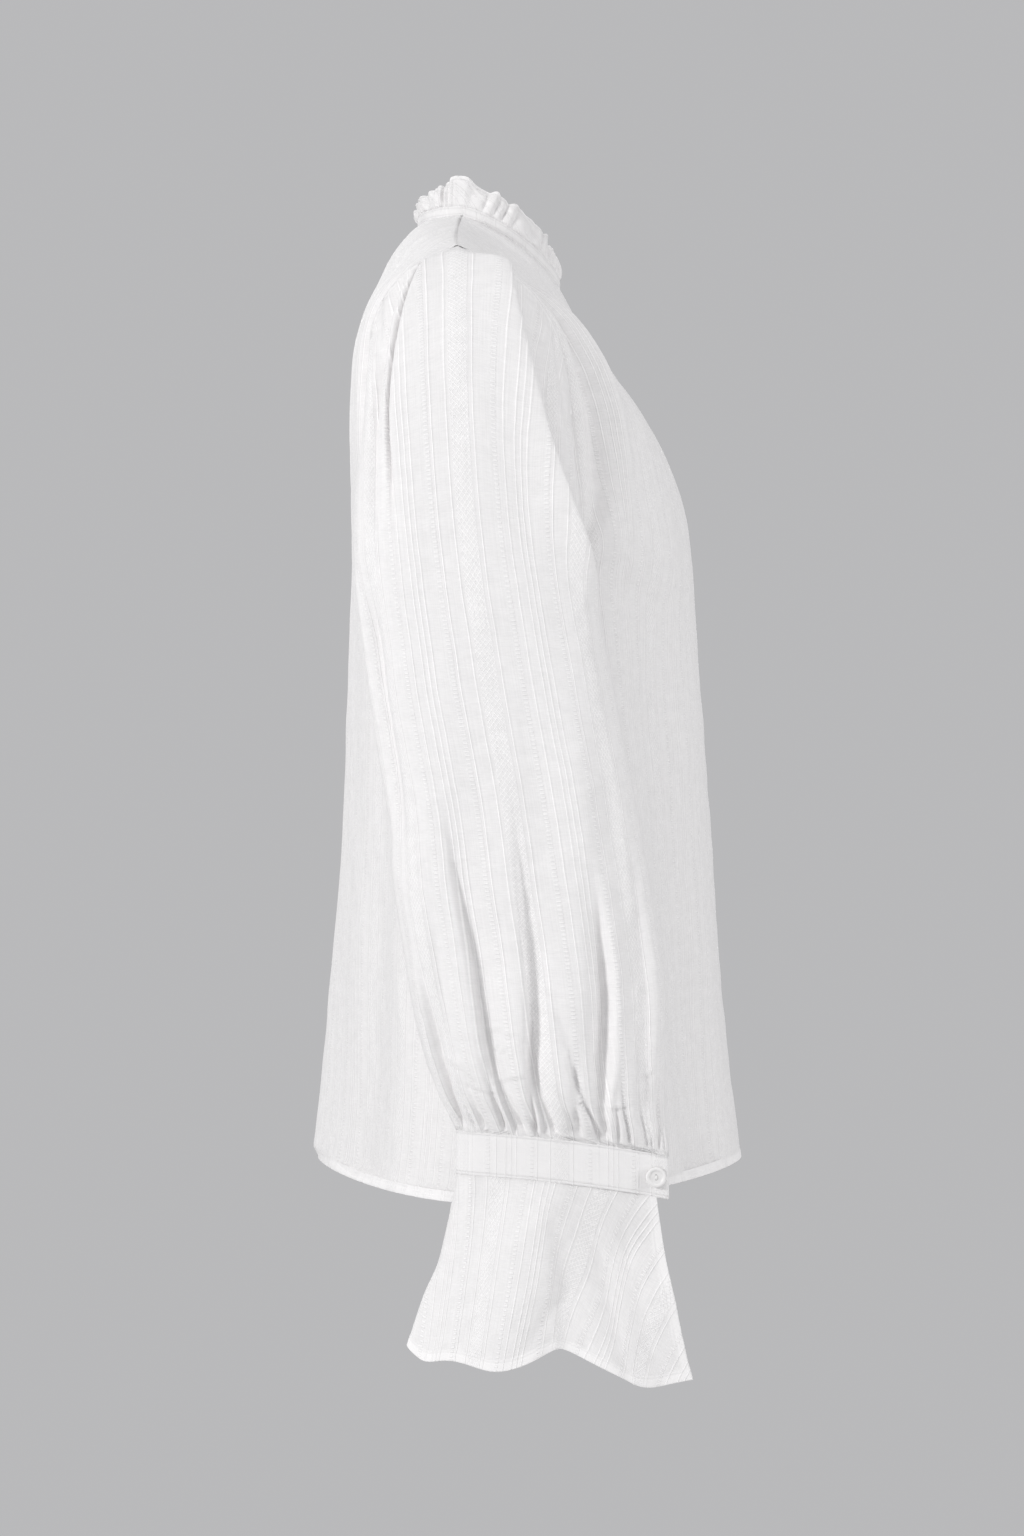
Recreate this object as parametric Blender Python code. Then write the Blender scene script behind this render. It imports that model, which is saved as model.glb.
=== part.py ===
"""A jacquard shirt with a ruffled stand collar, balloon sleeves and flounced cuffs.

It holds the shape that it has when worn: the hollow cloth shell, piece by piece.
Metres, +Z up. The front faces -Y and the wearer's left is +X. The origin is the middle of
the neck, at the height where the shoulder seams meet the neckband.

Each piece of cloth is a wall. Its outer face comes from rows of curves or rings that are
read from the short tables below. Folds, gathers and ruffle waves move those points along
the face's normal, and the inner face lies one cloth thickness behind.
"""

import math
from collections import namedtuple

import bpy
import numpy as np

# ---------------------------------------------------------------- driving sizes
CLOTH = 0.0014          # wall of the shirting
BAND_CLOTH = 0.0020     # cuffs and neckband: two layers with an interlining
SEAM_GAP = 0.0004       # between two pieces at a seam
HEM_DEPTH = 0.0065      # turned hem of body and flounces
HEM_RAISE = 0.0005      # how far the turned hem stands proud
NECKBAND_HEIGHT = 0.0068
COLLAR_HEIGHT = 0.0150  # the ruffle above the neckband
CUFF_HEIGHT = 0.0265
CUFF_LAP = 0.018
CUFF_ARCH = 0.0030
FLOUNCE_LENGTH = 0.104
BUTTON_DIAMETER = 0.0125
BUTTON_THICKNESS = 0.0026
BUTTON_STAND = 0.0010   # the thread shank holds the button this far off the cuff
SLIT_LENGTH = 0.150     # front neck opening, down from the neckline
SLEEVE_SLIT = 0.055     # sleeve opening, up from the cuff

WHITE = (0.86, 0.86, 0.855, 1.0)
PEARL = (0.90, 0.90, 0.89, 1.0)

# ---------------------------------------------------------------- mesh densities
PANEL_COLUMNS = 11      # from the centre line to the side of front and back
NECK_STEPS = 37
CUFF_STEPS = 26
FLOUNCE_STEPS = 40

# ---------------------------------------------------------------- the body's rows
# A row runs across a panel from the centre line to the side path: down the shoulder seam,
# round the armhole and down the side seam. run is the distance along that path.
# bow is the centre handle in shares of side_x. At the side path a row heads turn degrees
# back from straight out, its handle is pull long, and dip is how far that lies below.
BodyRow = namedtuple(
    "BodyRow", "name run centre_y centre_z side_x side_y side_z bow turn pull dip"
)
FRONT_ROWS = (
    BodyRow("neckline", 0.0, -0.0456, -0.04, 0.068, 0.0215, 0.0, 0.56, 90, 0.037, 0.011),
    BodyRow("collar", 0.04, -0.0592, -0.065, 0.104, 0.0225, -0.0105, 0.50, 90, 0.045, 0.026),
    BodyRow("chest", 0.08, -0.0755, -0.0905, 0.141, 0.0235, -0.0225, 0.44, 84, 0.046, 0.026),
    BodyRow("shoulder", 0.115, -0.0908, -0.113, 0.173, 0.0235, -0.036, 0.40, 56, 0.044, 0.016),
    BodyRow("scye_top", 0.14, -0.1008, -0.129, 0.1735, -0.004, -0.048, 0.40, 46, 0.040, 0.008),
    BodyRow("scye", 0.17, -0.1118, -0.1475, 0.17, -0.03, -0.072, 0.42, 46, 0.036, 0.006),
    BodyRow("scye_mid", 0.2, -0.1214, -0.1645, 0.168, -0.043, -0.0965, 0.48, 50, 0.038, 0.006),
    BodyRow("bust", 0.25, -0.1326, -0.196, 0.1675, -0.051, -0.145, 0.55, 55, 0.045, 0.007),
    BodyRow("scye_low", 0.3, -0.137, -0.23, 0.172, -0.048, -0.196, 0.56, 64, 0.056, 0.008),
    BodyRow("scye_turn", 0.332, -0.1388, -0.252, 0.181, -0.028, -0.229, 0.56, 78, 0.066, 0.006),
    BodyRow("underarm", 0.362, -0.1405, -0.272, 0.187, 0.012, -0.243, 0.55, 90, 0.082, 0.005),
    BodyRow("waist", 0.462, -0.1462, -0.348, 0.200, 0.012, -0.343, 0.48, 90, 0.086, 0.003),
    BodyRow("hip", 0.602, -0.1556, -0.486, 0.221, 0.005, -0.483, 0.38, 90, 0.089, 0.002),
    BodyRow("low_hip", 0.7, -0.1645, -0.582, 0.2315, 0.0, -0.5805, 0.25, 90, 0.091, 0.001),
    BodyRow("hem", 0.766, -0.1722, -0.6455, 0.237, -0.002, -0.6465, 0.20, 90, 0.094, 0.0),
)
BACK_ROWS = (
    BodyRow("neckline", 0.0, 0.0540, 0.0020, 0.068, 0.0215, 0.0, 0.62, 90, 0.014, 0.0),
    BodyRow("nape", 0.04, 0.0630, -0.008, 0.104, 0.0225, -0.0105, 0.62, 90, 0.022, 0.001),
    BodyRow("yoke", 0.08, 0.0745, -0.027, 0.141, 0.0235, -0.0225, 0.62, 86, 0.029, 0.004),
    BodyRow("shoulder", 0.115, 0.0835, -0.048, 0.173, 0.0235, -0.036, 0.62, 58, 0.038, 0.004),
    BodyRow("scye_top", 0.14, 0.089, -0.064, 0.1745, 0.05, -0.048, 0.62, 46, 0.038, 0.002),
    BodyRow("scye", 0.17, 0.093, -0.088, 0.173, 0.072, -0.072, 0.64, 40, 0.034, 0.004),
    BodyRow("blade", 0.2, 0.0955, -0.114, 0.172, 0.08, -0.0965, 0.66, 38, 0.032, 0.006),
    BodyRow("scye_mid", 0.25, 0.0965, -0.161, 0.172, 0.080, -0.145, 0.62, 46, 0.030, 0.006),
    BodyRow("scye_low", 0.3, 0.0955, -0.21, 0.177, 0.066, -0.196, 0.60, 62, 0.036, 0.006),
    BodyRow("scye_turn", 0.332, 0.0948, -0.24, 0.182, 0.044, -0.229, 0.60, 80, 0.044, 0.006),
    BodyRow("underarm", 0.362, 0.0946, -0.266, 0.187, 0.012, -0.243, 0.60, 90, 0.060, 0.006),
    BodyRow("waist", 0.462, 0.0968, -0.346, 0.200, 0.012, -0.343, 0.54, 90, 0.058, 0.002),
    BodyRow("hip", 0.602, 0.1058, -0.485, 0.221, 0.005, -0.483, 0.40, 90, 0.060, 0.001),
    BodyRow("low_hip", 0.7, 0.1152, -0.5815, 0.2315, 0.0, -0.5805, 0.25, 90, 0.064, 0.001),
    BodyRow("hem", 0.766, 0.1235, -0.6455, 0.237, -0.002, -0.6465, 0.20, 90, 0.069, 0.0),
)
RUN_SHOULDER_POINT = 0.115
RUN_UNDERARM = 0.362
RUN_HEM = 0.766
SHOULDER_RUNS = (0.0, 0.022, 0.048, 0.080)
ARMHOLE_RUNS = (
    0.115, 0.127, 0.140, 0.155, 0.175, 0.205, 0.240, 0.275, 0.305, 0.332, 0.347, 0.362
)
SIDE_RUNS = (0.410, 0.480, 0.560, 0.640, 0.712)
HEM_RUNS = (RUN_HEM - HEM_DEPTH - 0.0015, RUN_HEM - HEM_DEPTH, RUN_HEM)
PANEL_RUNS = SHOULDER_RUNS + ARMHOLE_RUNS + SIDE_RUNS + HEM_RUNS

# ---------------------------------------------------------------- the sleeve's rings
# Below the cap the sleeve is a flat oval tube that hangs beside the body. tip is how much
# a ring rises per metre towards the back.
SleeveRing = namedtuple("SleeveRing", "name run centre_x centre_y centre_z half_x half_y tip")
SLEEVE_RINGS = (
    SleeveRing("biceps", 0.250, 0.2390, 0.0085, -0.2800, 0.0350, 0.0760, 0.00),
    SleeveRing("above_elbow", 0.300, 0.2470, 0.0005, -0.3300, 0.0370, 0.0772, 0.00),
    SleeveRing("elbow", 0.370, 0.2580, -0.0120, -0.4000, 0.0390, 0.0775, 0.00),
    SleeveRing("forearm", 0.420, 0.2650, -0.0188, -0.4500, 0.0400, 0.0800, 0.02),
    SleeveRing("balloon", 0.470, 0.2710, -0.0260, -0.5000, 0.0400, 0.0797, 0.04),
    SleeveRing("gathers", 0.520, 0.2765, -0.0312, -0.5500, 0.0360, 0.0750, 0.08),
    SleeveRing("puff", 0.547, 0.2790, -0.0352, -0.5765, 0.0295, 0.0700, 0.10),
    SleeveRing("above_cuff", 0.563, 0.2803, -0.0400, -0.5920, 0.0225, 0.0665, 0.11),
    SleeveRing("cuff_seam", 0.575, 0.2810, -0.0425, -0.6020, 0.0165, 0.0640, 0.115),
)
RUN_BICEPS = 0.250
RUN_CUFF = 0.575
SLEEVE_RUNS = (
    0.0, 0.012, 0.032, 0.056, 0.082, 0.110, 0.140, 0.170, 0.202, 0.238, 0.280, 0.330,
    0.380, 0.428, 0.470, 0.506, 0.535, 0.560, RUN_CUFF,
)

# The pleats and long folds of the sleeve, each through three places. at is the angle round
# the sleeve: 0 outwards, 90 forwards and -90 back. wide and deep are metres, and a deep
# below zero is a ridge.
SleeveFold = namedtuple(
    "SleeveFold", "name run_from at_from run_mid at_mid run_to at_to wide deep fade_in fade_out"
)
SLEEVE_FOLDS = (
    SleeveFold("back_pleat", 0.004, -13, 0.065, -29, 0.230, -34, 0.0085, 0.0075, 0.02, 0.12),
    SleeveFold("back_pleat_lip", 0.004, -5, 0.065, -19, 0.240, -24, 0.0100, -0.0045, 0.02, 0.12),
    SleeveFold("front_ridge", 0.004, 17, 0.130, 37, 0.255, 86, 0.0160, -0.0075, 0.03, 0.06),
    SleeveFold("front_hollow", 0.004, 36, 0.130, 60, 0.240, 112, 0.0160, 0.0085, 0.02, 0.08),
    SleeveFold("front_tuck", 0.002, 56, 0.060, 70, 0.130, 82, 0.0090, 0.0035, 0.01, 0.06),
    SleeveFold("blade_tuck", 0.002, -48, 0.110, -46, 0.230, -50, 0.0100, 0.0045, 0.02, 0.08),
    SleeveFold("rear_hollow", 0.200, -62, 0.300, -66, 0.440, -66, 0.0120, 0.0065, 0.07, 0.12),
    SleeveFold("long_fold_back", 0.330, -33, 0.440, -30, 0.572, -30, 0.0110, 0.0125, 0.15, 0.012),
    SleeveFold("long_fold_mid", 0.330, 2, 0.450, -1, 0.572, -8, 0.0100, 0.0120, 0.15, 0.012),
    SleeveFold("long_fold_front", 0.390, 27, 0.480, 29, 0.572, 21, 0.0105, 0.0115, 0.09, 0.012),
    SleeveFold("far_fold_front", 0.360, 128, 0.460, 132, 0.572, 138, 0.0105, 0.0070, 0.14, 0.012),
    SleeveFold("far_fold_mid", 0.350, 172, 0.460, 175, 0.572, 176, 0.0105, 0.0070, 0.14, 0.012),
    SleeveFold("far_fold_back", 0.370, -128, 0.46, -130, 0.572, -134, 0.0105, 0.0070, 0.13, 0.012),
    SleeveFold("rear_fold", 0.440, -60, 0.500, -63, 0.572, -66, 0.0090, 0.0080, 0.08, 0.012),
)

# Gathers where the sleeve is drawn into the cuff: the angle of each valley, how deep it
# is just above the cuff, and how far up it runs.
Gather = namedtuple("Gather", "at deep reach")
GATHERS = (
    Gather(-80, 0.0024, 0.050), Gather(-68, 0.0032, 0.060), Gather(-55, 0.0026, 0.030),
    Gather(-44, 0.0030, 0.045), Gather(-32, 0.0036, 0.070), Gather(-22, 0.0026, 0.028),
    Gather(-12, 0.0036, 0.070), Gather(-3, 0.0030, 0.036), Gather(5, 0.0024, 0.026),
    Gather(12, 0.0030, 0.040), Gather(20, 0.0038, 0.080), Gather(31, 0.0028, 0.034),
    Gather(42, 0.0032, 0.048), Gather(53, 0.0028, 0.038), Gather(65, 0.0032, 0.056),
    Gather(78, 0.0024, 0.036), Gather(91, 0.0018, 0.046), Gather(104, 0.0024, 0.040),
    Gather(117, 0.0028, 0.036), Gather(131, 0.0034, 0.060), Gather(145, 0.0026, 0.034),
    Gather(159, 0.0030, 0.046), Gather(173, 0.0034, 0.060), Gather(187, 0.0028, 0.036),
    Gather(201, 0.0030, 0.044), Gather(215, 0.0028, 0.036), Gather(229, 0.0034, 0.060),
    Gather(243, 0.0028, 0.040), Gather(256, 0.0020, 0.044), Gather(268, 0.0018, 0.040),
)
GATHER_RISE = 0.012     # a gather is deepest this far above the cuff
GATHER_WIDTH = 0.0042   # half-width of a gather's valley at the cuff

# Soft folds of front and back: across is 0 on the centre line and 1 at the side path.
PanelFold = namedtuple(
    "PanelFold", "name run_from across_from run_to across_to wide deep fade_in fade_out"
)
FRONT_FOLDS = (
    PanelFold("scye_fold", 0.110, 0.86, 0.420, 0.84, 0.0110, 0.0055, 0.05, 0.16),
    PanelFold("scye_ridge", 0.100, 0.72, 0.360, 0.70, 0.0100, -0.0035, 0.04, 0.14),
    PanelFold("chest_fold", 0.050, 0.52, 0.260, 0.56, 0.0090, 0.0028, 0.04, 0.12),
    PanelFold("bust_fall", 0.300, 0.42, 0.766, 0.40, 0.0330, 0.0050, 0.16, 0.01),
    PanelFold("side_fall", 0.380, 0.80, 0.766, 0.76, 0.0300, 0.0045, 0.18, 0.01),
    PanelFold("front_flare", 0.360, 0.60, 0.766, 0.58, 0.0300, -0.0040, 0.20, 0.01),
)
BACK_FOLDS = (
    PanelFold("blade_fall", 0.240, 0.50, 0.766, 0.46, 0.0320, 0.0055, 0.20, 0.01),
    PanelFold("centre_fall", 0.200, 0.10, 0.766, 0.12, 0.0300, -0.0040, 0.20, 0.01),
    PanelFold("side_fall", 0.360, 0.78, 0.766, 0.80, 0.0280, 0.0045, 0.18, 0.01),
    PanelFold("back_scye", 0.120, 0.90, 0.340, 0.88, 0.0110, 0.0040, 0.04, 0.12),
)

# ---------------------------------------------------------------- collar and flounce
NECK_SIDE_SHARE = 0.56  # share of the half neckline that belongs to the front
COLLAR_WAVES = 25
COLLAR_WAVE = 0.0028    # how far a wave stands out at the ruffle's top edge
COLLAR_TIP = 0.0040     # the ruffle leans in by this much at the front
COLLAR_LEAN = 0.0020    # and out by this much at the back
COLLAR_PEAK = 0.0060    # it stands this much higher at each shoulder
PEAK_AT = 110.0
PEAK_WIDE = 9.0
COLLAR_LOW = 0.0080     # and this much lower at the nape
NECK_REACH = 6.0        # degrees either way over which the neck's slope is read
COLLAR_END = 1.0        # half the gap between the collar's ends, in degrees
RUFFLE_ROWS = (0.0, 0.45, 1.0)
COLLAR_STEPS_PER_WAVE = 4

# Waves of the flounce: where each stands out at the hem and by how much, and how far the
# hem drops there.
FlounceWave = namedtuple("FlounceWave", "name at out wide drop")
FLOUNCE_WAVES = (
    FlounceWave("back_corner", -68, 0.0060, 20, 0.0090),
    FlounceWave("near_lobe_back", -26, 0.0110, 21, 0.0090),
    FlounceWave("near_notch", -3, -0.0130, 14, -0.0100),
    FlounceWave("near_lobe_front", 32, 0.0115, 22, 0.0070),
    FlounceWave("far_lobe_front", 132, 0.0070, 18, 0.0040),
    FlounceWave("far_notch", 166, -0.0120, 15, -0.0070),
    FlounceWave("far_lobe_back", 205, 0.0080, 20, 0.0060),
    FlounceWave("rear_notch", 242, -0.0070, 14, -0.0040),
)
FLOUNCE_HALF_X = 0.0300
FLOUNCE_HALF_Y = 0.0920
FLOUNCE_CENTRE = (0.2880, -0.0440)
FLOUNCE_FALL = 0.003    # how much lower the flounce's front hangs than its middle
FLOUNCE_SWING = {"left": 0.70, "right": 1.0}
FLOUNCE_DEPTHS = (0.0, 0.16, 0.40, 0.68, 0.928, 0.940, 1.0)
OPENING_AT = 92.0       # the cuff opens at the front fold of the sleeve
FLOUNCE_FROM = 120.0    # the flounce starts behind the underlap, at this angle
FLOUNCE_TO = 422.0      # and ends short of the lapped end
BUTTON_AT = 421.0       # the button's angle on the cuff


# ---------------------------------------------------------------- curves
def smooth(t):
    """0 to 1 with level ends."""
    t = np.clip(t, 0.0, 1.0)
    return t * t * (3 - 2 * t)


def column(rows, name):
    return np.array([getattr(row, name) for row in rows], float)


def through(rows, name, at, corners=()):
    """A curve through one column of a table, with no overshoot, at the given runs.

    It is smooth but for a change of heading at the runs in corners.
    """
    x, y = column(rows, "run"), column(rows, name)
    step = np.diff(x)
    chord = np.diff(y) / step
    before, after = chord[:-1], chord[1:]
    same_way = before * after > 0
    share = (step[:-1] + 2 * step[1:]) / (3 * (step[:-1] + step[1:]))
    mean = before * after / np.where(same_way, share * after + (1 - share) * before, 1.0)
    mean = np.where(same_way, mean, 0.0)
    turning = np.isin(x[1:-1], corners)
    leave = np.append(chord[0], np.where(turning, after, mean))
    arrive = np.append(np.where(turning, before, mean), chord[-1])
    i = np.clip(np.searchsorted(x, at, side="right") - 1, 0, len(x) - 2)
    t = (at - x[i]) / step[i]
    return (
        y[i] * (1 + 2 * t) * (1 - t) ** 2
        + leave[i] * step[i] * t * (1 - t) ** 2
        + y[i + 1] * t * t * (3 - 2 * t)
        + arrive[i] * step[i] * t * t * (t - 1)
    )


def stack(x, y, z):
    return np.stack(np.broadcast_arrays(x, y, z), axis=-1)


def unit(v):
    return v / np.maximum(np.linalg.norm(v, axis=-1, keepdims=True), 1e-12)


def fold_centre(run, fold):
    """The fold's angle at each run: a curve through its three places."""
    a, b, c = fold.run_from, fold.run_mid, fold.run_to
    at = np.clip(run, a, c)
    return (
        fold.at_from * (at - b) * (at - c) / ((a - b) * (a - c))
        + fold.at_mid * (at - a) * (at - c) / ((b - a) * (b - c))
        + fold.at_to * (at - a) * (at - b) / ((c - a) * (c - b))
    )


def window(run, fold):
    """1 along a fold's length, fading out at both ends."""
    into = smooth((run - fold.run_from) / fold.fade_in)
    out = smooth((fold.run_to - run) / fold.fade_out)
    return into * out


# ---------------------------------------------------------------- the body
def panel_base(rows, across, run):
    """A point of a panel's outer face, before folds. across is 0 at the centre line."""
    def get(name):
        corners = (RUN_SHOULDER_POINT, RUN_UNDERARM) if name.startswith("side") else ()
        return through(rows, name, run, corners)

    zero = np.zeros_like(run)
    start = stack(zero, get("centre_y"), get("centre_z"))
    end = stack(get("side_x"), get("side_y"), get("side_z"))
    turn = np.radians(get("turn"))
    back = np.sign(end[..., 1] - start[..., 1])
    handle_start = stack(get("bow") * end[..., 0], zero, zero)
    handle_end = stack(get("pull") * np.cos(turn), get("pull") * np.sin(turn) * back, get("dip"))
    b = np.asarray(across)[..., None]
    return (
        start * (1 - b) ** 3
        + 3 * (start + handle_start) * b * (1 - b) ** 2
        + 3 * (end - handle_end) * b * b * (1 - b)
        + end * b**3
    )


def normals_of(points, outward, closed=False):
    """Unit normals of a grid of points, turned to the side that outward points to."""
    if closed:
        wrapped = np.concatenate([points[:, -1:], points, points[:, :1]], axis=1)
        across = (wrapped[:, 2:] - wrapped[:, :-2]) / 2
    else:
        across = np.gradient(points, axis=1)
    along = np.gradient(points, axis=0)
    normal = unit(np.cross(across, along))
    facing = np.sign((normal * outward).sum(-1).mean())
    return normal * facing


def body_middle(points):
    """From the body's middle out to each point: level below the chest, and rising above."""
    return stack(points[..., 0], points[..., 1] + 0.02, np.maximum(points[..., 2] + 0.25, 0))


def panel_folds(folds, points, across, run):
    """How far each point moves in, from the soft folds of a panel."""
    width = np.linalg.norm(np.diff(points, axis=1), axis=-1).sum(axis=1)[:, None]
    depth = np.zeros(points.shape[:-1])
    for fold in folds:
        share = np.clip((run - fold.run_from) / (fold.run_to - fold.run_from), 0, 1)
        centre = fold.across_from + (fold.across_to - fold.across_from) * share
        off = (across - centre) * width
        depth += fold.deep * window(run, fold) * np.exp(-((off / fold.wide) ** 2))
    return depth


def hem_raise(run):
    return HEM_RAISE * smooth((run - (RUN_HEM - HEM_DEPTH - 0.0015)) / 0.0015)


def half_panel(rows, folds):
    """(outer points, inner points) of half a panel, from its centre line to its left side."""
    across, run = np.meshgrid(np.linspace(0, 1, PANEL_COLUMNS), PANEL_RUNS)
    base = panel_base(rows, across, run)
    normal = normals_of(base, body_middle(base))
    # The wall of front and back is square to the plane of the seam where they meet.
    on_seam = (run[:, -1] <= RUN_SHOULDER_POINT) | (run[:, -1] >= RUN_UNDERARM)
    normal[:, 0, 0] = 0
    normal[on_seam, -1, 1] = 0
    normal = unit(normal)
    depth = panel_folds(folds, base, across, run)
    outer = base + normal * (hem_raise(run) - depth)[..., None]
    inner = base - normal * (CLOTH + depth)[..., None]
    for points in (outer, inner):
        points[on_seam, -1, 1] += np.sign(rows[0].centre_y) * SEAM_GAP / 2
    return outer, inner


def build_panel(name, rows, folds, slit=0.0):
    """Front or back: two mirrored halves that share the centre line below the slit."""
    outer, inner = half_panel(rows, folds)
    mirror = np.array([-1.0, 1.0, 1.0])
    slit_rows = sum(run < slit for run in PANEL_RUNS)
    count, columns = outer.shape[:2]
    points, ids = [], {}

    def point(side, layer, row, col):
        shared = col == 0 and row >= slit_rows
        key = (0 if shared else side, layer, row, col)
        if key not in ids:
            place = (outer, inner)[layer][row, col].copy()
            if col == 0:
                place[0] = 0.0 if shared else SEAM_GAP * (1 - row / slit_rows) + 0.00005
            ids[key] = len(points)
            points.append(place if side > 0 else place * mirror)
        return ids[key]

    # Seen from outside, columns run to the left on the front's left half.
    flip = rows[0].centre_y < 0
    faces = []
    for side in (1, -1):
        for row in range(count - 1):
            for col in range(columns - 1):
                for corners in cell(outer, row, col):
                    out_face = [point(side, 0, *c) for c in corners]
                    in_face = [point(side, 1, *c) for c in corners]
                    if (side > 0) != flip:
                        out_face.reverse()
                    else:
                        in_face.reverse()
                    faces += [out_face, in_face]
    return make_wall(name, points, faces, ids)


def cell(grid, row, col, slanted=False):
    """A cell's two triangles, the same for both layers.

    They are cut along the shorter diagonal, or along a slanting fold that crosses columns.
    """
    a, b, c, d = (row, col), (row + 1, col), (row + 1, col + 1), (row, col + 1)
    if slanted or np.linalg.norm(grid[a] - grid[c]) < np.linalg.norm(grid[b] - grid[d]):
        return (a, b, c), (a, c, d)
    return (a, b, d), (b, c, d)


def make_wall(name, points, faces, ids):
    """Closes the rims between the two layers and makes the object."""
    partner = {}
    for (side, layer, row, col), index in ids.items():
        partner[index] = ids.get((side, 1 - layer, row, col))
    outer_ids = {index for key, index in ids.items() if key[1] == 0}
    edges = {}
    for face in faces:
        for a, b in zip(face, face[1:] + face[:1]):
            edges[(a, b)] = True
    rims = [
        [b, a, partner[a], partner[b]]
        for (a, b) in edges
        if (b, a) not in edges and a in outer_ids
    ]
    return make_object(name, points, faces + rims)


def make_object(name, points, faces, colour=WHITE, roughness=0.85):
    mesh = bpy.data.meshes.new(name)
    mesh.from_pydata([tuple(map(float, p)) for p in points], [], [list(f) for f in faces])
    mesh.validate()
    mesh.shade_smooth()
    mesh.materials.append(cloth_material(name, colour, roughness))
    made = bpy.data.objects.new(name, mesh)
    bpy.context.scene.collection.objects.link(made)
    return made


def cloth_material(name, colour, roughness):
    material = bpy.data.materials.new(name)
    material.use_nodes = True
    shader = material.node_tree.nodes["Principled BSDF"]
    shader.inputs["Base Color"].default_value = colour
    shader.inputs["Roughness"].default_value = roughness
    shader.inputs["Metallic"].default_value = 0.0
    return material


def grid_wall(name, outer, inner, joined=0, slanted=None, mirrored=False):
    """A wall from two grids of points. In its first rows, joined, the last column is the first."""
    if slanted is None:
        slanted = np.zeros(outer.shape[:2], bool)
    rows, columns = outer.shape[:2]
    side = np.array([-1.0 if mirrored else 1.0, 1.0, 1.0])
    points, ids = [], {}
    for layer, grid in enumerate((outer, inner)):
        for row in range(rows):
            for col in range(columns):
                if row < joined and col == columns - 1:
                    ids[(0, layer, row, col)] = ids[(0, layer, row, 0)]
                else:
                    ids[(0, layer, row, col)] = len(points)
                    points.append(grid[row, col] * side)
    across = unit(outer[0, 1] - outer[0, 0])
    along = unit(outer[1, 0] - outer[0, 0])
    faces_out = np.cross(across, along) @ (outer[0, 0] - inner[0, 0]) < 0
    faces = []
    for row in range(rows - 1):
        for col in range(columns - 1):
            for corners in cell(outer, row, col, slanted[row, col]):
                out_face = [ids[(0, 0, *c)] for c in corners]
                in_face = [ids[(0, 1, *c)] for c in corners]
                if faces_out == mirrored:
                    out_face.reverse()
                else:
                    in_face.reverse()
                faces += [out_face, in_face]
    return make_wall(name, points, faces, ids)


# ---------------------------------------------------------------- the sleeves
def armhole(angle):
    """(point, normal, way out of the panel) on the left armhole, at each angle."""
    share = np.abs(angle) / 180.0
    run = RUN_SHOULDER_POINT + share * (RUN_UNDERARM - RUN_SHOULDER_POINT)
    found = [armhole_edge(rows, run) for rows in (FRONT_ROWS, BACK_ROWS)]
    ahead = (angle >= 0)[..., None]
    # At the shoulder point and the underarm the two panels meet, and their mean is used.
    even = np.clip(np.minimum(share, 1 - share) / 0.06, 0, 1)[..., None]
    point = np.where(ahead, found[0][0], found[1][0])
    mixed = []
    for front, back in (found[0][1], found[1][1]), (found[0][2], found[1][2]):
        own = np.where(ahead, front, back)
        mixed.append(unit(own * even + (front + back) * (1 - even) / 2))
    return point, mixed[0], mixed[1]


def armhole_edge(rows, run):
    step = 0.001
    near = 0.995
    edge = np.ones_like(run)
    point = panel_base(rows, edge, run)
    inside = panel_base(rows, edge * near, run)
    later = panel_base(rows, edge, np.minimum(run + step, RUN_UNDERARM))
    sooner = panel_base(rows, edge, np.maximum(run - step, RUN_SHOULDER_POINT))
    along = unit(later - sooner)
    normal = unit(np.cross(point - inside, along))
    normal *= np.sign((normal * body_middle(point)).sum(-1, keepdims=True))
    way = np.cross(along, normal)
    way *= np.sign((way * (point - inside)).sum(-1, keepdims=True))
    return point, normal, unit(way)


def ring_point(angle, run):
    """A point on the tube below the cap."""
    def get(name):
        return through(SLEEVE_RINGS, name, run)

    turn = np.radians(angle)
    flat = 0.86
    cos, sin = np.cos(turn), np.sin(turn)
    x = get("half_x") * np.sign(cos) * np.abs(cos) ** flat
    y = -get("half_y") * sin
    z = get("tip") * y + cuff_arch(cos) * smooth((run - 0.50) / (RUN_CUFF - 0.50))
    return stack(get("centre_x") + x, get("centre_y") + y, get("centre_z") + z)


def cuff_arch(cos):
    """How far the cuff's outer side is drawn up in its middle."""
    return CUFF_ARCH * np.maximum(cos, 0) ** 2


def sleeve_base(angle, run):
    """The left sleeve before its folds: the cap as Hermite curves, then the tube."""
    point, _, way = armhole(angle)
    point = point + way * SEAM_GAP
    below = ring_point(angle, np.full_like(run, RUN_BICEPS))
    further = ring_point(angle, np.full_like(run, RUN_BICEPS + 0.02))
    chord = np.linalg.norm(below - point, axis=-1, keepdims=True)
    turn = np.radians(angle)
    top = np.clip(np.cos(turn), 0, 1)
    wish = unit(
        stack(
            0.95 - 0.15 * np.abs(np.sin(turn)),
            -0.18 * np.sin(turn),
            -0.42 - 0.25 * np.abs(np.sin(turn)) + 0.30 * np.clip(-np.cos(turn), 0, 1),
        )
    )
    under = np.clip(-np.cos(turn), 0, 1)[..., None]
    start_way = unit(wish + way * (0.30 + 0.35 * under))
    end_way = unit(further - below)
    pull_start = chord * (0.62 + 0.25 * top[..., None])
    pull_end = chord * 1.25
    t = np.clip(run / RUN_BICEPS, 0, 1)[..., None] ** (1 - 0.4 * under**2)
    cap = (
        point * (1 + 2 * t) * (1 - t) ** 2
        + start_way * pull_start * t * (1 - t) ** 2
        + below * t * t * (3 - 2 * t)
        + end_way * pull_end * t * t * (t - 1)
    )
    return np.where(t < 1, cap, ring_point(angle, np.maximum(run, RUN_BICEPS)))


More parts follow.
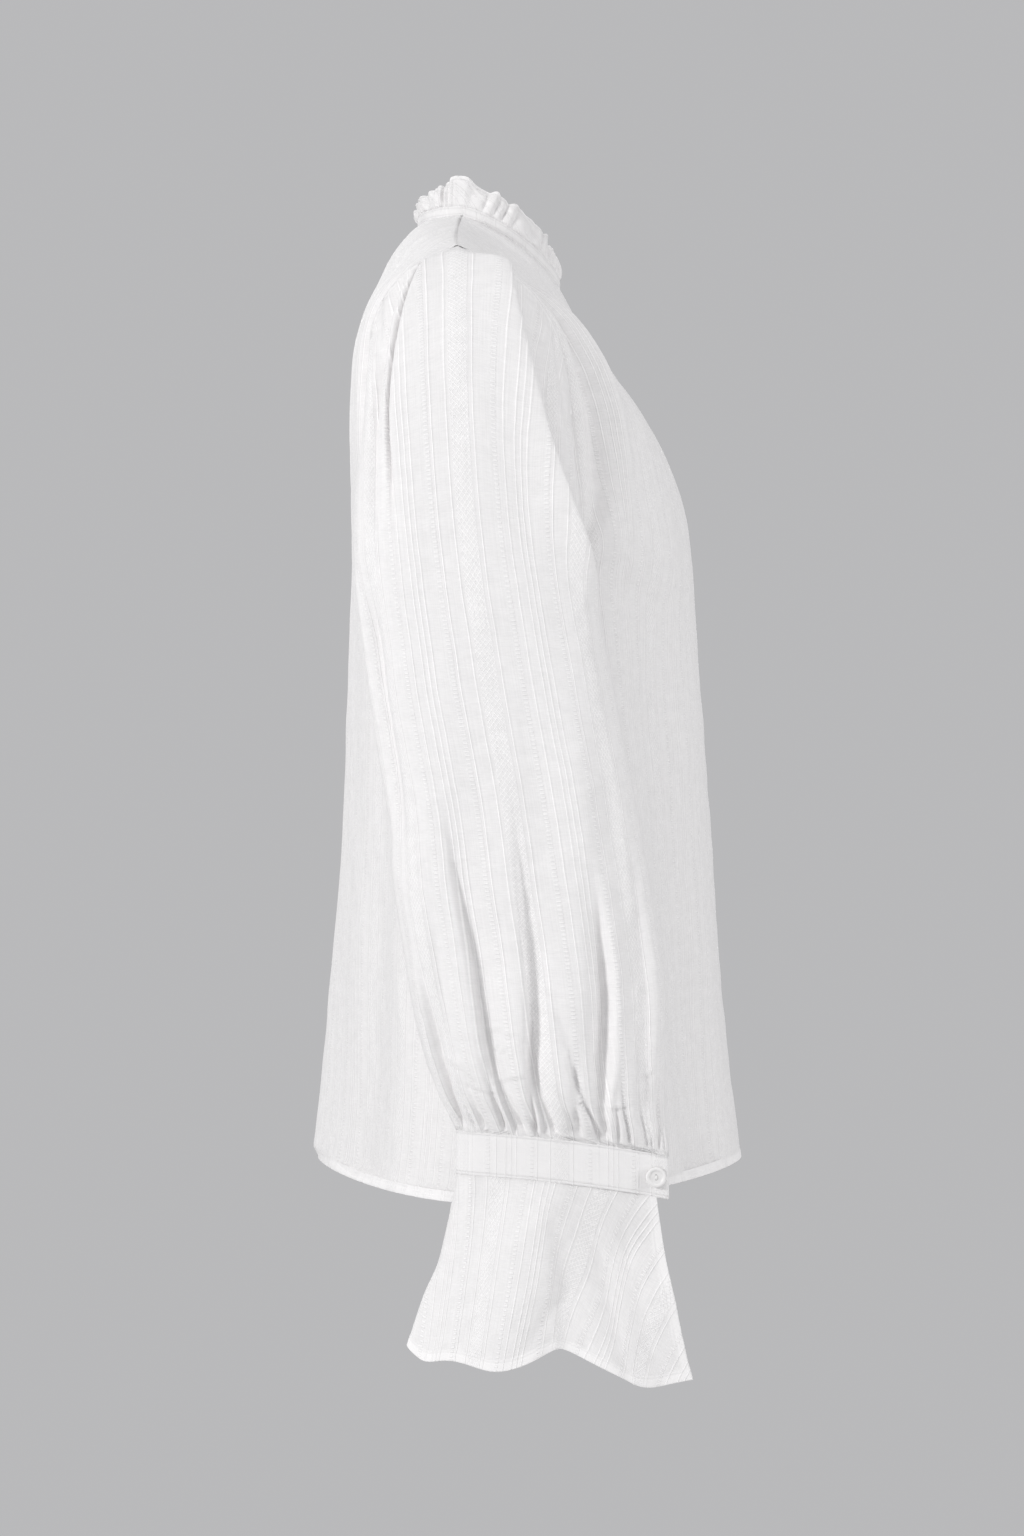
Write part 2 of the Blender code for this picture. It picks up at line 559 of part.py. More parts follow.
def apart(angle, centre):
    """The signed angle from centre, within half a turn."""
    return (angle - centre + 180.0) % 360.0 - 180.0


def sleeve_folds(points, angle, run):
    """How far in each point of the sleeve moves, from pleats, long folds and gathers."""
    wrapped = np.concatenate([points, points[:, :1]], axis=1)
    girth = np.linalg.norm(np.diff(wrapped, axis=1), axis=-1).sum(axis=1)[:, None]
    depth = np.zeros(points.shape[:-1])
    for fold in SLEEVE_FOLDS:
        off = apart(angle, fold_centre(run, fold)) / 360.0 * girth
        depth += fold.deep * window(run, fold) * np.exp(-((off / fold.wide) ** 2))
    above = RUN_CUFF - run
    for gather in GATHERS:
        rise = smooth(above / GATHER_RISE) * 0.75 + 0.25
        fade = 1 - smooth((above - GATHER_RISE) / gather.reach)
        off = apart(angle, gather.at) / 360.0 * girth
        wide = GATHER_WIDTH * (1 + above / 0.06)
        depth += gather.deep * rise * fade * np.exp(-((off / wide) ** 2))
    return depth


def sleeve_angles():
    """Columns at each gather's valley and halfway to the next, once round from the slit.

    Up at the armhole the columns slide a little, so that one meets each corner of the edge.
    """
    valleys = np.array([gather.at for gather in GATHERS], float)
    following = np.append(valleys[1:], valleys[0] + 360)
    found = np.stack([valleys, (valleys + following) / 2], axis=1).ravel()
    split = np.searchsorted(found, OPENING_AT)
    found = np.concatenate([found[split:], found[: split + 1] + 360])
    share = (np.array(ARMHOLE_RUNS) - RUN_SHOULDER_POINT) / (RUN_UNDERARM - RUN_SHOULDER_POINT)
    once = np.concatenate([-180 * share[:0:-1], 180 * share[:-1]])
    nearest = once + [-min(apart(once_at, found[:-1]), key=abs) for once_at in once]
    turns = np.array([-360, 0, 360, 720])[:, None]
    slid = np.interp(found, (nearest + turns).ravel(), (once + turns).ravel())
    run = np.array(SLEEVE_RUNS)[:, None]
    return slid + (found - slid) * smooth(run / RUN_BICEPS)


def armhole_ring(around, normal_after):
    """(outer, inner) points a seam gap off the real edge of front and back, at each angle.

    The wall there is between the panel's and the sleeve's own, and never leans at the panel.
    """
    _, normal, way = armhole(around)
    run = RUN_SHOULDER_POINT + np.abs(around) / 180 * (RUN_UNDERARM - RUN_SHOULDER_POINT)
    edges = []
    for rows, folds in ((FRONT_ROWS, FRONT_FOLDS), (BACK_ROWS, BACK_FOLDS)):
        edge = half_panel(rows, folds)[0][:, -1]
        edges.append(np.stack([np.interp(run, PANEL_RUNS, edge[:, k]) for k in range(3)], -1))
    outer = np.where((around >= 0)[:, None], edges[0], edges[1]) + way * SEAM_GAP
    across = unit(normal + normal_after)
    leaning = np.maximum((across * way).sum(-1, keepdims=True), 0)
    return outer, outer - unit(across - way * leaning) * CLOTH


def build_sleeve(name, mirrored):
    """A tube whose last column lies on its first, but for the slit above the cuff."""
    around = apart(sleeve_angles(), 0.0)
    run = np.repeat(np.array(SLEEVE_RUNS)[:, None], around.shape[1], axis=1)
    base = sleeve_base(around, run)
    ring = base[:, :-1]
    centre = ring.mean(axis=1, keepdims=True)
    normal = normals_of(ring, ring - centre, closed=True)
    normal = np.concatenate([normal, normal[:, :1]], axis=1)
    depth = sleeve_folds(base, around, run)
    outer = base - normal * depth[..., None]
    inner = base - normal * (depth + CLOTH)[..., None]
    outer[0], inner[0] = armhole_ring(around[0], normal[1])
    outer[-1, :, 2] += SEAM_GAP
    inner[-1, :, 2] = outer[-1, :, 2]
    joined = sum(run_at <= RUN_CUFF - SLEEVE_SLIT for run_at in SLEEVE_RUNS)
    for layer in (outer, inner):
        near = unit(layer[joined:, 1] - layer[joined:, 0]) * SEAM_GAP
        far = unit(layer[joined:, -2] - layer[joined:, -1]) * SEAM_GAP
        layer[joined:, 0] += near
        layer[joined:, -1] += far
    slanted = (around > 4) & (around < 112) & (run < RUN_BICEPS)
    return grid_wall(name, outer, inner, joined, slanted, mirrored)


# ---------------------------------------------------------------- cuffs and flounces
def cuff_point(angle, down):
    """The cuff's outer face. down is metres below the sleeve seam; angle may pass 360."""
    ring = SLEEVE_RINGS[-1]
    turn = np.radians(angle)
    cos, sin = np.cos(turn), np.sin(turn)
    half_x, half_y = ring.half_x + BAND_CLOTH / 2, ring.half_y + 0.001
    # The lapped end runs on straight instead of following the fold round.
    lap = smooth((angle - (OPENING_AT + 360 - 48)) / 48.0)
    x = half_x * np.sign(cos) * np.abs(cos) ** 0.86 + lap * half_x * 0.52
    y = -half_y * sin
    # The free end of the underlap lies inside.
    under = 1 - smooth((angle - OPENING_AT + 6) / 26.0)
    x = x - under * (BAND_CLOTH + 0.0010) * np.maximum(cos, 0.35)
    y = y + under * (BAND_CLOTH + 0.0008)
    fall = ring.tip * y + cuff_arch(cos) - down
    return stack(ring.centre_x + x + 0.02 * down, ring.centre_y + y, ring.centre_z + fall)


def lap_angle():
    """The underlap's length as an angle at the cuff's front fold."""
    ring = SLEEVE_RINGS[-1]
    return math.degrees(CUFF_LAP / ring.half_y) * 1.25


def build_cuff(name, mirrored):
    start, end = OPENING_AT - lap_angle(), OPENING_AT + 360
    angle, down = np.meshgrid(
        np.linspace(start, end, CUFF_STEPS), (SEAM_GAP, CUFF_HEIGHT / 2, CUFF_HEIGHT)
    )
    outer = cuff_point(angle, down)
    normal = normals_of(outer, outer - outer.mean(axis=(0, 1)))
    inner = outer - normal * BAND_CLOTH
    return grid_wall(name, outer, inner, mirrored=mirrored)


def flounce_point(angle, down, swing):
    """The flounce's outer face. down runs from 0 at the cuff to 1 at its hem."""
    top = cuff_point(angle, np.full_like(down, CUFF_HEIGHT + SEAM_GAP))
    turn = np.radians(angle)
    cos, sin = np.cos(turn), np.sin(turn)
    out = np.zeros_like(angle)
    drop = np.zeros_like(angle)
    for wave in FLOUNCE_WAVES:
        near = np.exp(-((apart(angle, wave.at) / wave.wide) ** 2))
        out += wave.out * near
        drop += wave.drop * near
    x = FLOUNCE_CENTRE[0] + (FLOUNCE_HALF_X + out) * np.sign(cos) * np.abs(cos) ** 0.9
    y = FLOUNCE_CENTRE[1] - FLOUNCE_HALF_Y * sin
    z = top[..., 2] - FLOUNCE_LENGTH - drop - FLOUNCE_FALL * sin
    return stack(
        top[..., 0] + (x - top[..., 0]) * (smooth(down) * 0.35 + down * 0.65),
        top[..., 1] + (y - top[..., 1]) * down**1.25 * swing,
        top[..., 2] + (z - top[..., 2]) * down,
    )


def build_flounce(name, swing, mirrored):
    angle, down = np.meshgrid(
        np.linspace(FLOUNCE_FROM, FLOUNCE_TO, FLOUNCE_STEPS), FLOUNCE_DEPTHS
    )
    base = flounce_point(angle, down, swing)
    normal = normals_of(base, base - base.mean(axis=1, keepdims=True))
    proud = HEM_RAISE * smooth((down - 0.928) / 0.012)
    outer = base + normal * proud[..., None]
    inner = base - normal * CLOTH
    return grid_wall(name, outer, inner, mirrored=mirrored)


# ---------------------------------------------------------------- neckband and collar
def neck_point(angle, up):
    """The neckband's outer face. angle is 0 at the centre front and 180 at the back."""
    turn = (np.asarray(angle) % 360.0) / 180.0
    side = np.where(turn <= 1, 1.0, -1.0)
    share = np.where(turn <= 1, turn, 2 - turn)
    forward = share <= NECK_SIDE_SHARE
    front = panel_base(FRONT_ROWS, np.clip(share / NECK_SIDE_SHARE, 0, 1), np.zeros_like(share))
    rest = np.clip((1 - share) / (1 - NECK_SIDE_SHARE), 0, 1)
    back = panel_base(BACK_ROWS, rest, np.zeros_like(share))
    base = np.where(forward[..., None], front, back)
    base[..., 0] *= side
    return base + up[..., None] * np.array([0.0, 0.0, 1.0])


def neck_frame(angle):
    """(point on the neckline, level way out from the neck's middle, way up the band).

    The band stands square to the neckline, so it leans forwards where that slopes.
    """
    level = np.zeros_like(angle)
    point = neck_point(angle, level)
    along = neck_point(angle + 0.5, level) - neck_point(angle - 0.5, level)
    out = stack(along[..., 1], -along[..., 0], level)
    out = unit(out) * np.sign((out * point).sum(-1, keepdims=True))
    slope = neck_point(angle + NECK_REACH, level) - neck_point(angle - NECK_REACH, level)
    rise = unit(np.cross(out, slope))
    return point, out, rise * np.sign(rise[..., 2:])


def build_neckband(name):
    angle, up = np.meshgrid(
        np.linspace(COLLAR_END / 2, 360 - COLLAR_END / 2, NECK_STEPS),
        (SEAM_GAP, NECKBAND_HEIGHT),
    )
    point, out, rise = neck_frame(angle)
    point = point + rise * up[..., None]
    return grid_wall(name, point, point - out * BAND_CLOTH)


def collar_wave(angle):
    """Uneven waves round the collar: their phase and size wander slowly."""
    turn = np.radians(angle)
    phase = COLLAR_WAVES * turn + 0.9 * np.sin(3 * turn + 0.4) + 0.6 * np.sin(5 * turn)
    size = 1 + 0.30 * np.sin(4 * turn + 1.1) + 0.20 * np.sin(7 * turn)
    return np.cos(phase), size


def collar_point(angle, up):
    """The collar ruffle. up runs from 0 at the neckband to 1 at its free edge."""
    point, out, rise = neck_frame(angle)
    wave, size = collar_wave(angle)
    forward = np.cos(np.radians(angle))
    tip = np.where(forward > 0, COLLAR_TIP, -COLLAR_LEAN) * forward**2 * up
    stand = COLLAR_WAVE * size * wave * (0.30 + 0.70 * up) - tip
    peak = COLLAR_PEAK * np.exp(-(((np.abs(apart(angle, 0.0)) - PEAK_AT) / PEAK_WIDE) ** 2))
    height = COLLAR_HEIGHT + peak - COLLAR_LOW * np.maximum(-forward, 0) ** 3
    reach = NECKBAND_HEIGHT + SEAM_GAP + height * up * (1 + 0.05 * size * wave * up)
    centre = out * (stand - (BAND_CLOTH - CLOTH) / 2)[..., None]
    return point + centre + rise * reach[..., None]


def build_collar(name):
    steps = COLLAR_WAVES * COLLAR_STEPS_PER_WAVE + 1
    angle, up = np.meshgrid(np.linspace(COLLAR_END, 360 - COLLAR_END, steps), RUFFLE_ROWS)
    outer = collar_point(angle, up)
    _, out, _ = neck_frame(angle)
    normal = normals_of(outer, out)
    inner = outer - normal * CLOTH
    # The ruffle's lower rim lies along the band's upper one, and its ends never cross.
    inner[0] = outer[0] - out[0] * CLOTH
    for points in (outer, inner):
        points[:, :2, 0] = np.maximum(points[:, :2, 0], (SEAM_GAP, 3 * SEAM_GAP))
        points[:, -2:, 0] = np.minimum(points[:, -2:, 0], (-3 * SEAM_GAP, -SEAM_GAP))
    return grid_wall(name, outer, inner)


# ---------------------------------------------------------------- buttons
def build_button(name, centre, axis, mirrored=False):
    """A round button with a raised rim round a shallow dish, its face along axis."""
    rim, dish = BUTTON_DIAMETER / 2, BUTTON_DIAMETER * 0.30
    profile = (
        (0.0, BUTTON_THICKNESS * 0.62), (dish, BUTTON_THICKNESS * 0.62),
        (rim * 0.72, BUTTON_THICKNESS), (rim * 0.92, BUTTON_THICKNESS * 0.94),
        (rim, BUTTON_THICKNESS * 0.62), (rim * 0.90, 0.0), (0.0, 0.0),
    )
    steps = 16
    side = np.array([-1.0 if mirrored else 1.0, 1.0, 1.0])
    axis = unit(np.array(axis, float))
    first = unit(np.cross(axis, (0.0, 0.0, 1.0)))
    second = np.cross(axis, first)
    points, rings = [], []
    for radius, height in profile:
        ring = []
        for k in range(steps if radius else 1):
            turn = 2 * math.pi * k / steps
            spoke = first * math.cos(turn) + second * math.sin(turn)
            ring.append(len(points))
            points.append((np.array(centre) + axis * height + spoke * radius) * side)
        rings.append(ring)
    faces = []
    for ring, after in zip(rings, rings[1:]):
        for k in range(steps):
            n = (k + 1) % steps
            if len(ring) == 1:
                face = [ring[0], after[k], after[n]]
            elif len(after) == 1:
                face = [ring[k], after[0], ring[n]]
            else:
                face = [ring[k], after[k], after[n], ring[n]]
            faces.append(face[::-1] if mirrored else face)
    return make_object(name, points, faces, PEARL, 0.35)


def cuff_button_place():
    """Where the cuff's button sits, on the lapped end, and which way it faces."""
    angle = np.array([[BUTTON_AT]])
    down = np.array([[CUFF_HEIGHT * 0.55]])
    here = cuff_point(angle, down)[0, 0]
    along = cuff_point(angle + 2, down)[0, 0] - here
    below = cuff_point(angle, down + 0.002)[0, 0] - here
    axis = unit(np.cross(along, below))
    axis = axis * np.sign(axis[0])
    return here + axis * BUTTON_STAND, axis


def clear_scene():
    for item in list(bpy.data.objects):
        bpy.data.objects.remove(item, do_unlink=True)


def main():
    clear_scene()
    build_panel("front", FRONT_ROWS, FRONT_FOLDS, slit=SLIT_LENGTH)
    build_panel("back", BACK_ROWS, BACK_FOLDS)
    build_neckband("neckband")
    build_collar("collar_ruffle")
    for side, mirrored in (("left", False), ("right", True)):
        build_sleeve(f"sleeve_{side}", mirrored)
        build_cuff(f"cuff_{side}", mirrored)
        build_flounce(f"cuff_flounce_{side}", FLOUNCE_SWING[side], mirrored)
        build_button(f"cuff_button_{side}", *cuff_button_place(), mirrored)


main()
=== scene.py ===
"""The jacquard shirt, dressed: every piece of cloth as a fine sheet on its solid's form.

The sheets follow the same curves as the solids and add pressed pleats, gathers, puckers,
seams, turned hems, stitching and a woven stripe. Metres, +Z up, front towards -Y.
"""

import math
from collections import namedtuple

import bpy
import numpy as np
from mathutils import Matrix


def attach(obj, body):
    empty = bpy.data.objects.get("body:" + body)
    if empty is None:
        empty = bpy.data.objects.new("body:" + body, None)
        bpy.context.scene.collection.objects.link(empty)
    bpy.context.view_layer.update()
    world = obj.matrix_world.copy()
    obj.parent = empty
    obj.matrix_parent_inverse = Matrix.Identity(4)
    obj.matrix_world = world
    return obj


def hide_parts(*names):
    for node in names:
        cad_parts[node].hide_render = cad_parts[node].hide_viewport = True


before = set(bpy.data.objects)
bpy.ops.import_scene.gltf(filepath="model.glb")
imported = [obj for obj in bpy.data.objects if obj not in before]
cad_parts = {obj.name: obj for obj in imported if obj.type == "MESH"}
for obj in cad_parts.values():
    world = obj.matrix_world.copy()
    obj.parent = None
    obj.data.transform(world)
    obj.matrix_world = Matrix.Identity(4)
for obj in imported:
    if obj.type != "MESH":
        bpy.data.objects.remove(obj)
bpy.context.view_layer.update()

# ------------------------------ driving sizes
CLOTH = 0.0014          # wall of the shirting
BAND_CLOTH = 0.0020     # cuffs and neckband: two layers with an interlining
SEAM_GAP = 0.0004       # between two pieces at a seam
HEM_DEPTH = 0.0065      # turned hem of body and flounces
NECKBAND_HEIGHT = 0.0068
COLLAR_HEIGHT = 0.0150  # the ruffle above the neckband
CUFF_HEIGHT = 0.0265
CUFF_LAP = 0.018
CUFF_ARCH = 0.0030
FLOUNCE_LENGTH = 0.104
BUTTON_DIAMETER = 0.0125
BUTTON_THICKNESS = 0.0026
BUTTON_STAND = 0.0010   # the thread shank holds the button this far off the cuff
SLIT_LENGTH = 0.150     # front neck opening, down from the neckline
SLEEVE_SLIT = 0.055     # sleeve opening, up from the cuff

# ------------------------------ the body's rows
BodyRow = namedtuple(
    "BodyRow", "name run centre_y centre_z side_x side_y side_z bow turn pull dip"
)
FRONT_ROWS = (
    BodyRow("neckline", 0, -.0456, -.04, .068, .0215, 0, .56, 90, .037, .011),
    BodyRow("collar", .04, -.0592, -.065, .104, .0225, -.0105, .5, 90, .045, .026),
    BodyRow("chest", .08, -.0755, -.0905, .141, .0235, -.0225, .44, 84, .046, .026),
    BodyRow("shoulder", .115, -.0908, -.113, .173, .0235, -.036, .4, 56, .044, .016),
    BodyRow("scye_top", .14, -.1008, -.129, .1735, -.004, -.048, .4, 46, .04, .008),
    BodyRow("scye", .17, -.1118, -.1475, .17, -.03, -.072, .42, 46, .036, .006),
    BodyRow("scye_mid", .2, -.1214, -.1645, .168, -.043, -.0965, .48, 50, .038, .006),
    BodyRow("bust", .25, -.1326, -.196, .1675, -.051, -.145, .55, 55, .045, .007),
    BodyRow("scye_low", .3, -.137, -.23, .172, -.048, -.196, .56, 64, .056, .008),
    BodyRow("scye_turn", .332, -.1388, -.252, .181, -.028, -.229, .56, 78, .066, .006),
    BodyRow("underarm", .362, -.1405, -.272, .187, .012, -.243, .55, 90, .082, .005),
    BodyRow("waist", .462, -.1462, -.348, .2, .012, -.343, .48, 90, .086, .003),
    BodyRow("hip", .602, -.1556, -.486, .221, .005, -.483, .38, 90, .089, .002),
    BodyRow("low_hip", .7, -.1645, -.582, .2315, 0, -.5805, .25, 90, .091, .001),
    BodyRow("hem", .766, -.1722, -.6455, .237, -.002, -.6465, .2, 90, .094, 0),
)
BACK_ROWS = (
    BodyRow("neckline", 0, .054, .002, .068, .0215, 0, .62, 90, .014, 0),
    BodyRow("nape", .04, .063, -.008, .104, .0225, -.0105, .62, 90, .022, .001),
    BodyRow("yoke", .08, .0745, -.027, .141, .0235, -.0225, .62, 86, .029, .004),
    BodyRow("shoulder", .115, .0835, -.048, .173, .0235, -.036, .62, 58, .038, .004),
    BodyRow("scye_top", .14, .089, -.064, .1745, .05, -.048, .62, 46, .038, .002),
    BodyRow("scye", .17, .093, -.088, .173, .072, -.072, .64, 40, .034, .004),
    BodyRow("blade", .2, .0955, -.114, .172, .08, -.0965, .66, 38, .032, .006),
    BodyRow("scye_mid", .25, .0965, -.161, .172, .08, -.145, .62, 46, .03, .006),
    BodyRow("scye_low", .3, .0955, -.21, .177, .066, -.196, .6, 62, .036, .006),
    BodyRow("scye_turn", .332, .0948, -.24, .182, .044, -.229, .6, 80, .044, .006),
    BodyRow("underarm", .362, .0946, -.266, .187, .012, -.243, .6, 90, .06, .006),
    BodyRow("waist", .462, .0968, -.346, .2, .012, -.343, .54, 90, .058, .002),
    BodyRow("hip", .602, .1058, -.485, .221, .005, -.483, .4, 90, .06, .001),
    BodyRow("low_hip", .7, .1152, -.5815, .2315, 0, -.5805, .25, 90, .064, .001),
    BodyRow("hem", .766, .1235, -.6455, .237, -.002, -.6465, .2, 90, .069, 0),
)
RUN_SHOULDER_POINT = 0.115
RUN_UNDERARM = 0.362
RUN_HEM = 0.766

# ------------------------------ the sleeve's rings
SleeveRing = namedtuple("SleeveRing", "name run centre_x centre_y centre_z half_x half_y tip")
SLEEVE_RINGS = (
    SleeveRing("biceps", .25, .239, .0085, -.28, .035, .076, 0),
    SleeveRing("above_elbow", .3, .247, .0005, -.33, .037, .0772, 0),
    SleeveRing("elbow", .37, .258, -.012, -.4, .039, .0775, 0),
    SleeveRing("forearm", .42, .265, -.0188, -.45, .04, .08, .02),
    SleeveRing("balloon", .47, .271, -.026, -.5, .04, .0797, .04),
    SleeveRing("gathers", .52, .2765, -.0312, -.55, .036, .075, .08),
    SleeveRing("puff", .547, .279, -.0352, -.5765, .0295, .07, .1),
    SleeveRing("above_cuff", .563, .2803, -.04, -.592, .0225, .0665, .11),
    SleeveRing("cuff_seam", .575, .281, -.0425, -.602, .0165, .064, .115),
)
RUN_BICEPS = 0.250
RUN_CUFF = 0.575
RING_FLAT = 0.86        # how squarish the rings are

# A pressed fold: through three places (run, angle); its sides are wide_low and wide_high
# metres on the sides of the smaller and the larger angle. deep below zero is a ridge.
SleeveFold = namedtuple(
    "SleeveFold",
    "name run_from at_from run_mid at_mid run_to at_to wide_low wide_high deep fade_in fade_out",
)
SLEEVE_FOLDS = (
    SleeveFold("back_pleat", .001, -13, .065, -29, .215, -34, .003, .0014, .0135, .003, .12),
    SleeveFold("back_pleat_lip", .002, -8, .065, -23.5, .24, -27, .0045, .015, -.0042, .02, .12),
    SleeveFold("back_pleat_two", .004, -24, .075, -43, .22, -48, .007, .0022, .0042, .02, .1),
    SleeveFold("back_pleat_three", .006, -19, .05, -34, .12, -39, .004, .0022, .002, .02, .05),
    SleeveFold("front_ridge", .006, 17, .13, 37, .255, 86, .0165, .005, -.0128, .02, .06),
    SleeveFold("front_hollow", .02, 38, .13, 58, .24, 108, .011, .019, .006, .06, .08),
    SleeveFold("front_tuck", .002, 56, .06, 70, .13, 82, .01, .007, .0018, .01, .06),
    SleeveFold("blade_tuck", .002, -48, .11, -46, .23, -50, .01, .008, .003, .02, .08),
    SleeveFold("rear_hollow", .2, -62, .3, -66, .44, -66, .011, .01, .0082, .07, .12),
    SleeveFold("long_fold_back", .33, -34, .44, -29, .575, -25, .0024, .014, .0095, .15, .003),
    SleeveFold("long_fold_mid", .33, 2, .45, -1, .575, -9, .0028, .013, .0095, .15, .003),
    SleeveFold("long_fold_front", .39, 33, .48, 35, .575, 24, .0115, .0028, .0115, .09, .003),
    SleeveFold("far_fold_front", .36, 128, .46, 132, .575, 138, .0125, .004, .0075, .14, .003),
    SleeveFold("far_fold_mid", .35, 172, .46, 175, .575, 176, .004, .0125, .0075, .14, .003),
    SleeveFold("far_fold_back", .37, -128, .46, -130, .575, -134, .0125, .004, .0075, .13, .003),
    SleeveFold("rear_fold", .44, -60, .5, -63, .575, -66, .004, .012, .007, .08, .003),
    SleeveFold("balloon_soft", .28, -14, .4, -17, .52, -18, .015, .017, .0046, .1, .08),
    SleeveFold("elbow_soft", .24, 15, .36, 14, .52, 11, .015, .013, .0048, .1, .08),
    SleeveFold("front_soft", .3, 52, .4, 50, .54, 46, .015, .013, .0046, .1, .05),
    SleeveFold("front_lean", .36, 64, .46, 61, .565, 56, .009, .006, .0036, .1, .03),
    SleeveFold("back_lean", .4, -46, .48, -47, .565, -50, .0055, .009, .0032, .08, .03),
)

# Gathers at the cuff: each valley's angle, its depth, and how far up it runs.
GATHERS = (
    (-80, .0024, .05), (-68, .0032, .06), (-55, .0026, .03), (-44, .003, .045), (-32, .0036, .07),
    (-22, .0026, .028), (-12, .0036, .07), (-3, .003, .036), (5, .0024, .026), (12, .003, .04),
    (20, .0038, .08), (31, .0028, .034), (42, .0032, .048), (53, .0028, .038), (65, .0032, .056),
    (78, .0024, .036), (91, .0018, .046), (104, .0024, .04), (117, .0028, .036), (131, .0034, .06),
    (145, .0026, .034), (159, .003, .046), (173, .0034, .06), (187, .0028, .036), (201, .003, .044),
    (215, .0028, .036), (229, .0034, .06), (243, .0028, .04), (256, .002, .044), (268, .0018, .04),
)
GATHER_RISE = 0.008     # they reach their full depth this far above the seam

# Short creases that cross the folds: run, angle, half lengths round and along, slant, depth.
CREASES = (
    (.506, -18, .0105, .0016, .3, .0012), (.5185, -20, .0075, .0014, .55, .001),
    (.536, -17, .0085, .0015, -.45, .0011), (.5445, -38, .009, .0016, .25, .0012),
    (.531, -50, .008, .0018, .5, .001), (.548, 35, .0085, .0016, -.35, .001),
    (.525, 60, .008, .0016, -.5, .0009), (.3, 150, .02, .0034, .25, .0014),
    (.335, 170, .018, .0034, -.25, .0013), (.37, 190, .02, .0034, .2, .0012),
    (.53, 120, .01, .0018, .4, .001), (.52, 165, .01, .0018, -.35, .001),
    (.535, 215, .01, .0018, .35, .001),
)

# Soft folds of front and back: across is 0 on the centre line and 1 at the side path.
PanelFold = namedtuple(
    "PanelFold", "name run_from across_from run_to across_to wide deep fade_in fade_out"
)
FRONT_FOLDS = (
    PanelFold("scye_fold", .11, .86, .42, .84, .011, .0055, .05, .16),
    PanelFold("scye_ridge", .1, .72, .36, .7, .01, -.0035, .04, .14),
    PanelFold("chest_fold", .05, .52, .26, .56, .009, .0028, .04, .12),
    PanelFold("bust_fall", .3, .42, .766, .4, .033, .005, .16, .01),
    PanelFold("side_fall", .38, .8, .766, .76, .03, .0045, .18, .01),
    PanelFold("front_flare", .36, .6, .766, .58, .03, -.004, .2, .01),
)
BACK_FOLDS = (
    PanelFold("blade_fall", .24, .5, .766, .46, .032, .0055, .2, .01),
    PanelFold("centre_fall", .2, .1, .766, .12, .03, -.004, .2, .01),
    PanelFold("side_fall", .36, .78, .766, .8, .028, .0045, .18, .01),
    PanelFold("back_scye", .12, .9, .34, .88, .011, .004, .04, .12),
)

# ------------------------------ collar and flounce
COLLAR_WAVE = 0.0011    # the long waves, which carry the puffs
COLLAR_WAVES = 25
COLLAR_TIP = 0.0040     # the ruffle leans in by this much at the front
COLLAR_LEAN = 0.0020    # and out by this much at the back
COLLAR_PEAK = 0.0060    # it stands this much higher at each shoulder
PEAK_AT = 110.0
PEAK_WIDE = 9.0
COLLAR_LOW = 0.0080     # and this much lower at the nape
NECK_REACH = 6.0        # degrees either way over which the neck's slope is read
NECK_SIDE_SHARE = 0.56  # share of the half neckline that belongs to the front
COLLAR_END = 1.0        # half the gap between the collar's ends, in degrees
FlounceWave = namedtuple("FlounceWave", "name at out wide drop")
FLOUNCE_WAVES = (
    FlounceWave("back_corner", -68, .006, 20, .009),
    FlounceWave("near_lobe_back", -26, .011, 21, .009),
    FlounceWave("near_notch", -3, -.013, 14, -.01),
    FlounceWave("near_lobe_front", 32, .0115, 22, .007),
    FlounceWave("far_lobe_front", 132, .007, 18, .004),
    FlounceWave("far_notch", 166, -.012, 15, -.007),
    FlounceWave("far_lobe_back", 205, .008, 20, .006),
    FlounceWave("rear_notch", 242, -.007, 14, -.004),
)
FLOUNCE_HALF_X = 0.0300
FLOUNCE_HALF_Y = 0.0920
FLOUNCE_CENTRE = (0.2880, -0.0440)
FLOUNCE_FLAT = 0.9      # how squarish the flounce's lower edge is
FLOUNCE_FALL = 0.003    # how much lower the flounce's front hangs than its middle
FLOUNCE_SWING = {"left": 0.70, "right": 1.0}
OPENING_AT = 92.0       # the cuff opens at the front fold of the sleeve
FLOUNCE_FROM = 120.0    # the flounce starts behind the underlap, at this angle
FLOUNCE_TO = 422.0      # and ends short of the lapped end
BUTTON_AT = 421.0       # the button's angle on the cuff
BUTTON_DOWN = 0.55      # and how far down it sits, as a share of the cuff's height
LAP_OVER = 48.0         # the lapped end runs on straight over this angle
LAP_OUT = 0.52          # and so far out, as a share of the cuff's half depth
UNDER_OVER = 26.0       # the underlap goes in below it over this angle

# ------------------------------ fine grids
SLEEVE_COLUMNS = 330
SLEEVE_ROWS = 245
PANEL_HALF = 118
PANEL_ROWS = 215
FLOUNCE_COLUMNS = 300
FLOUNCE_LINES = 76
COLLAR_COLUMNS = 900
CUFF_COLUMNS = 220
NECKBAND_COLUMNS = 420
UNDER_FACE = 0.0003     # what body and sleeves keep back from the solids' outer faces
FINE_CLOTH = 0.0007     # the thickness that a strip's rounded edge is drawn for
EDGE_ROUND = 0.45       # how far a strip's edge is rounded out, as a share of that
HEM_TURN = 6            # rows round a turned hem's fold and up its inside
SLIT_AT = 97.5          # the angle of the sleeve's slit
SOFT_RUN = 0.014        # the spread over which the fine panels smooth their rows
SOFT_REACH = 2.4        # in spreads, either way
SOFT_STEPS = 13
SOFT_FROM_EDGE = 0.22   # they do so fully this share of the width in from the side
SOFT_FROM_END = 0.06    # and this far from the neckline and the hem


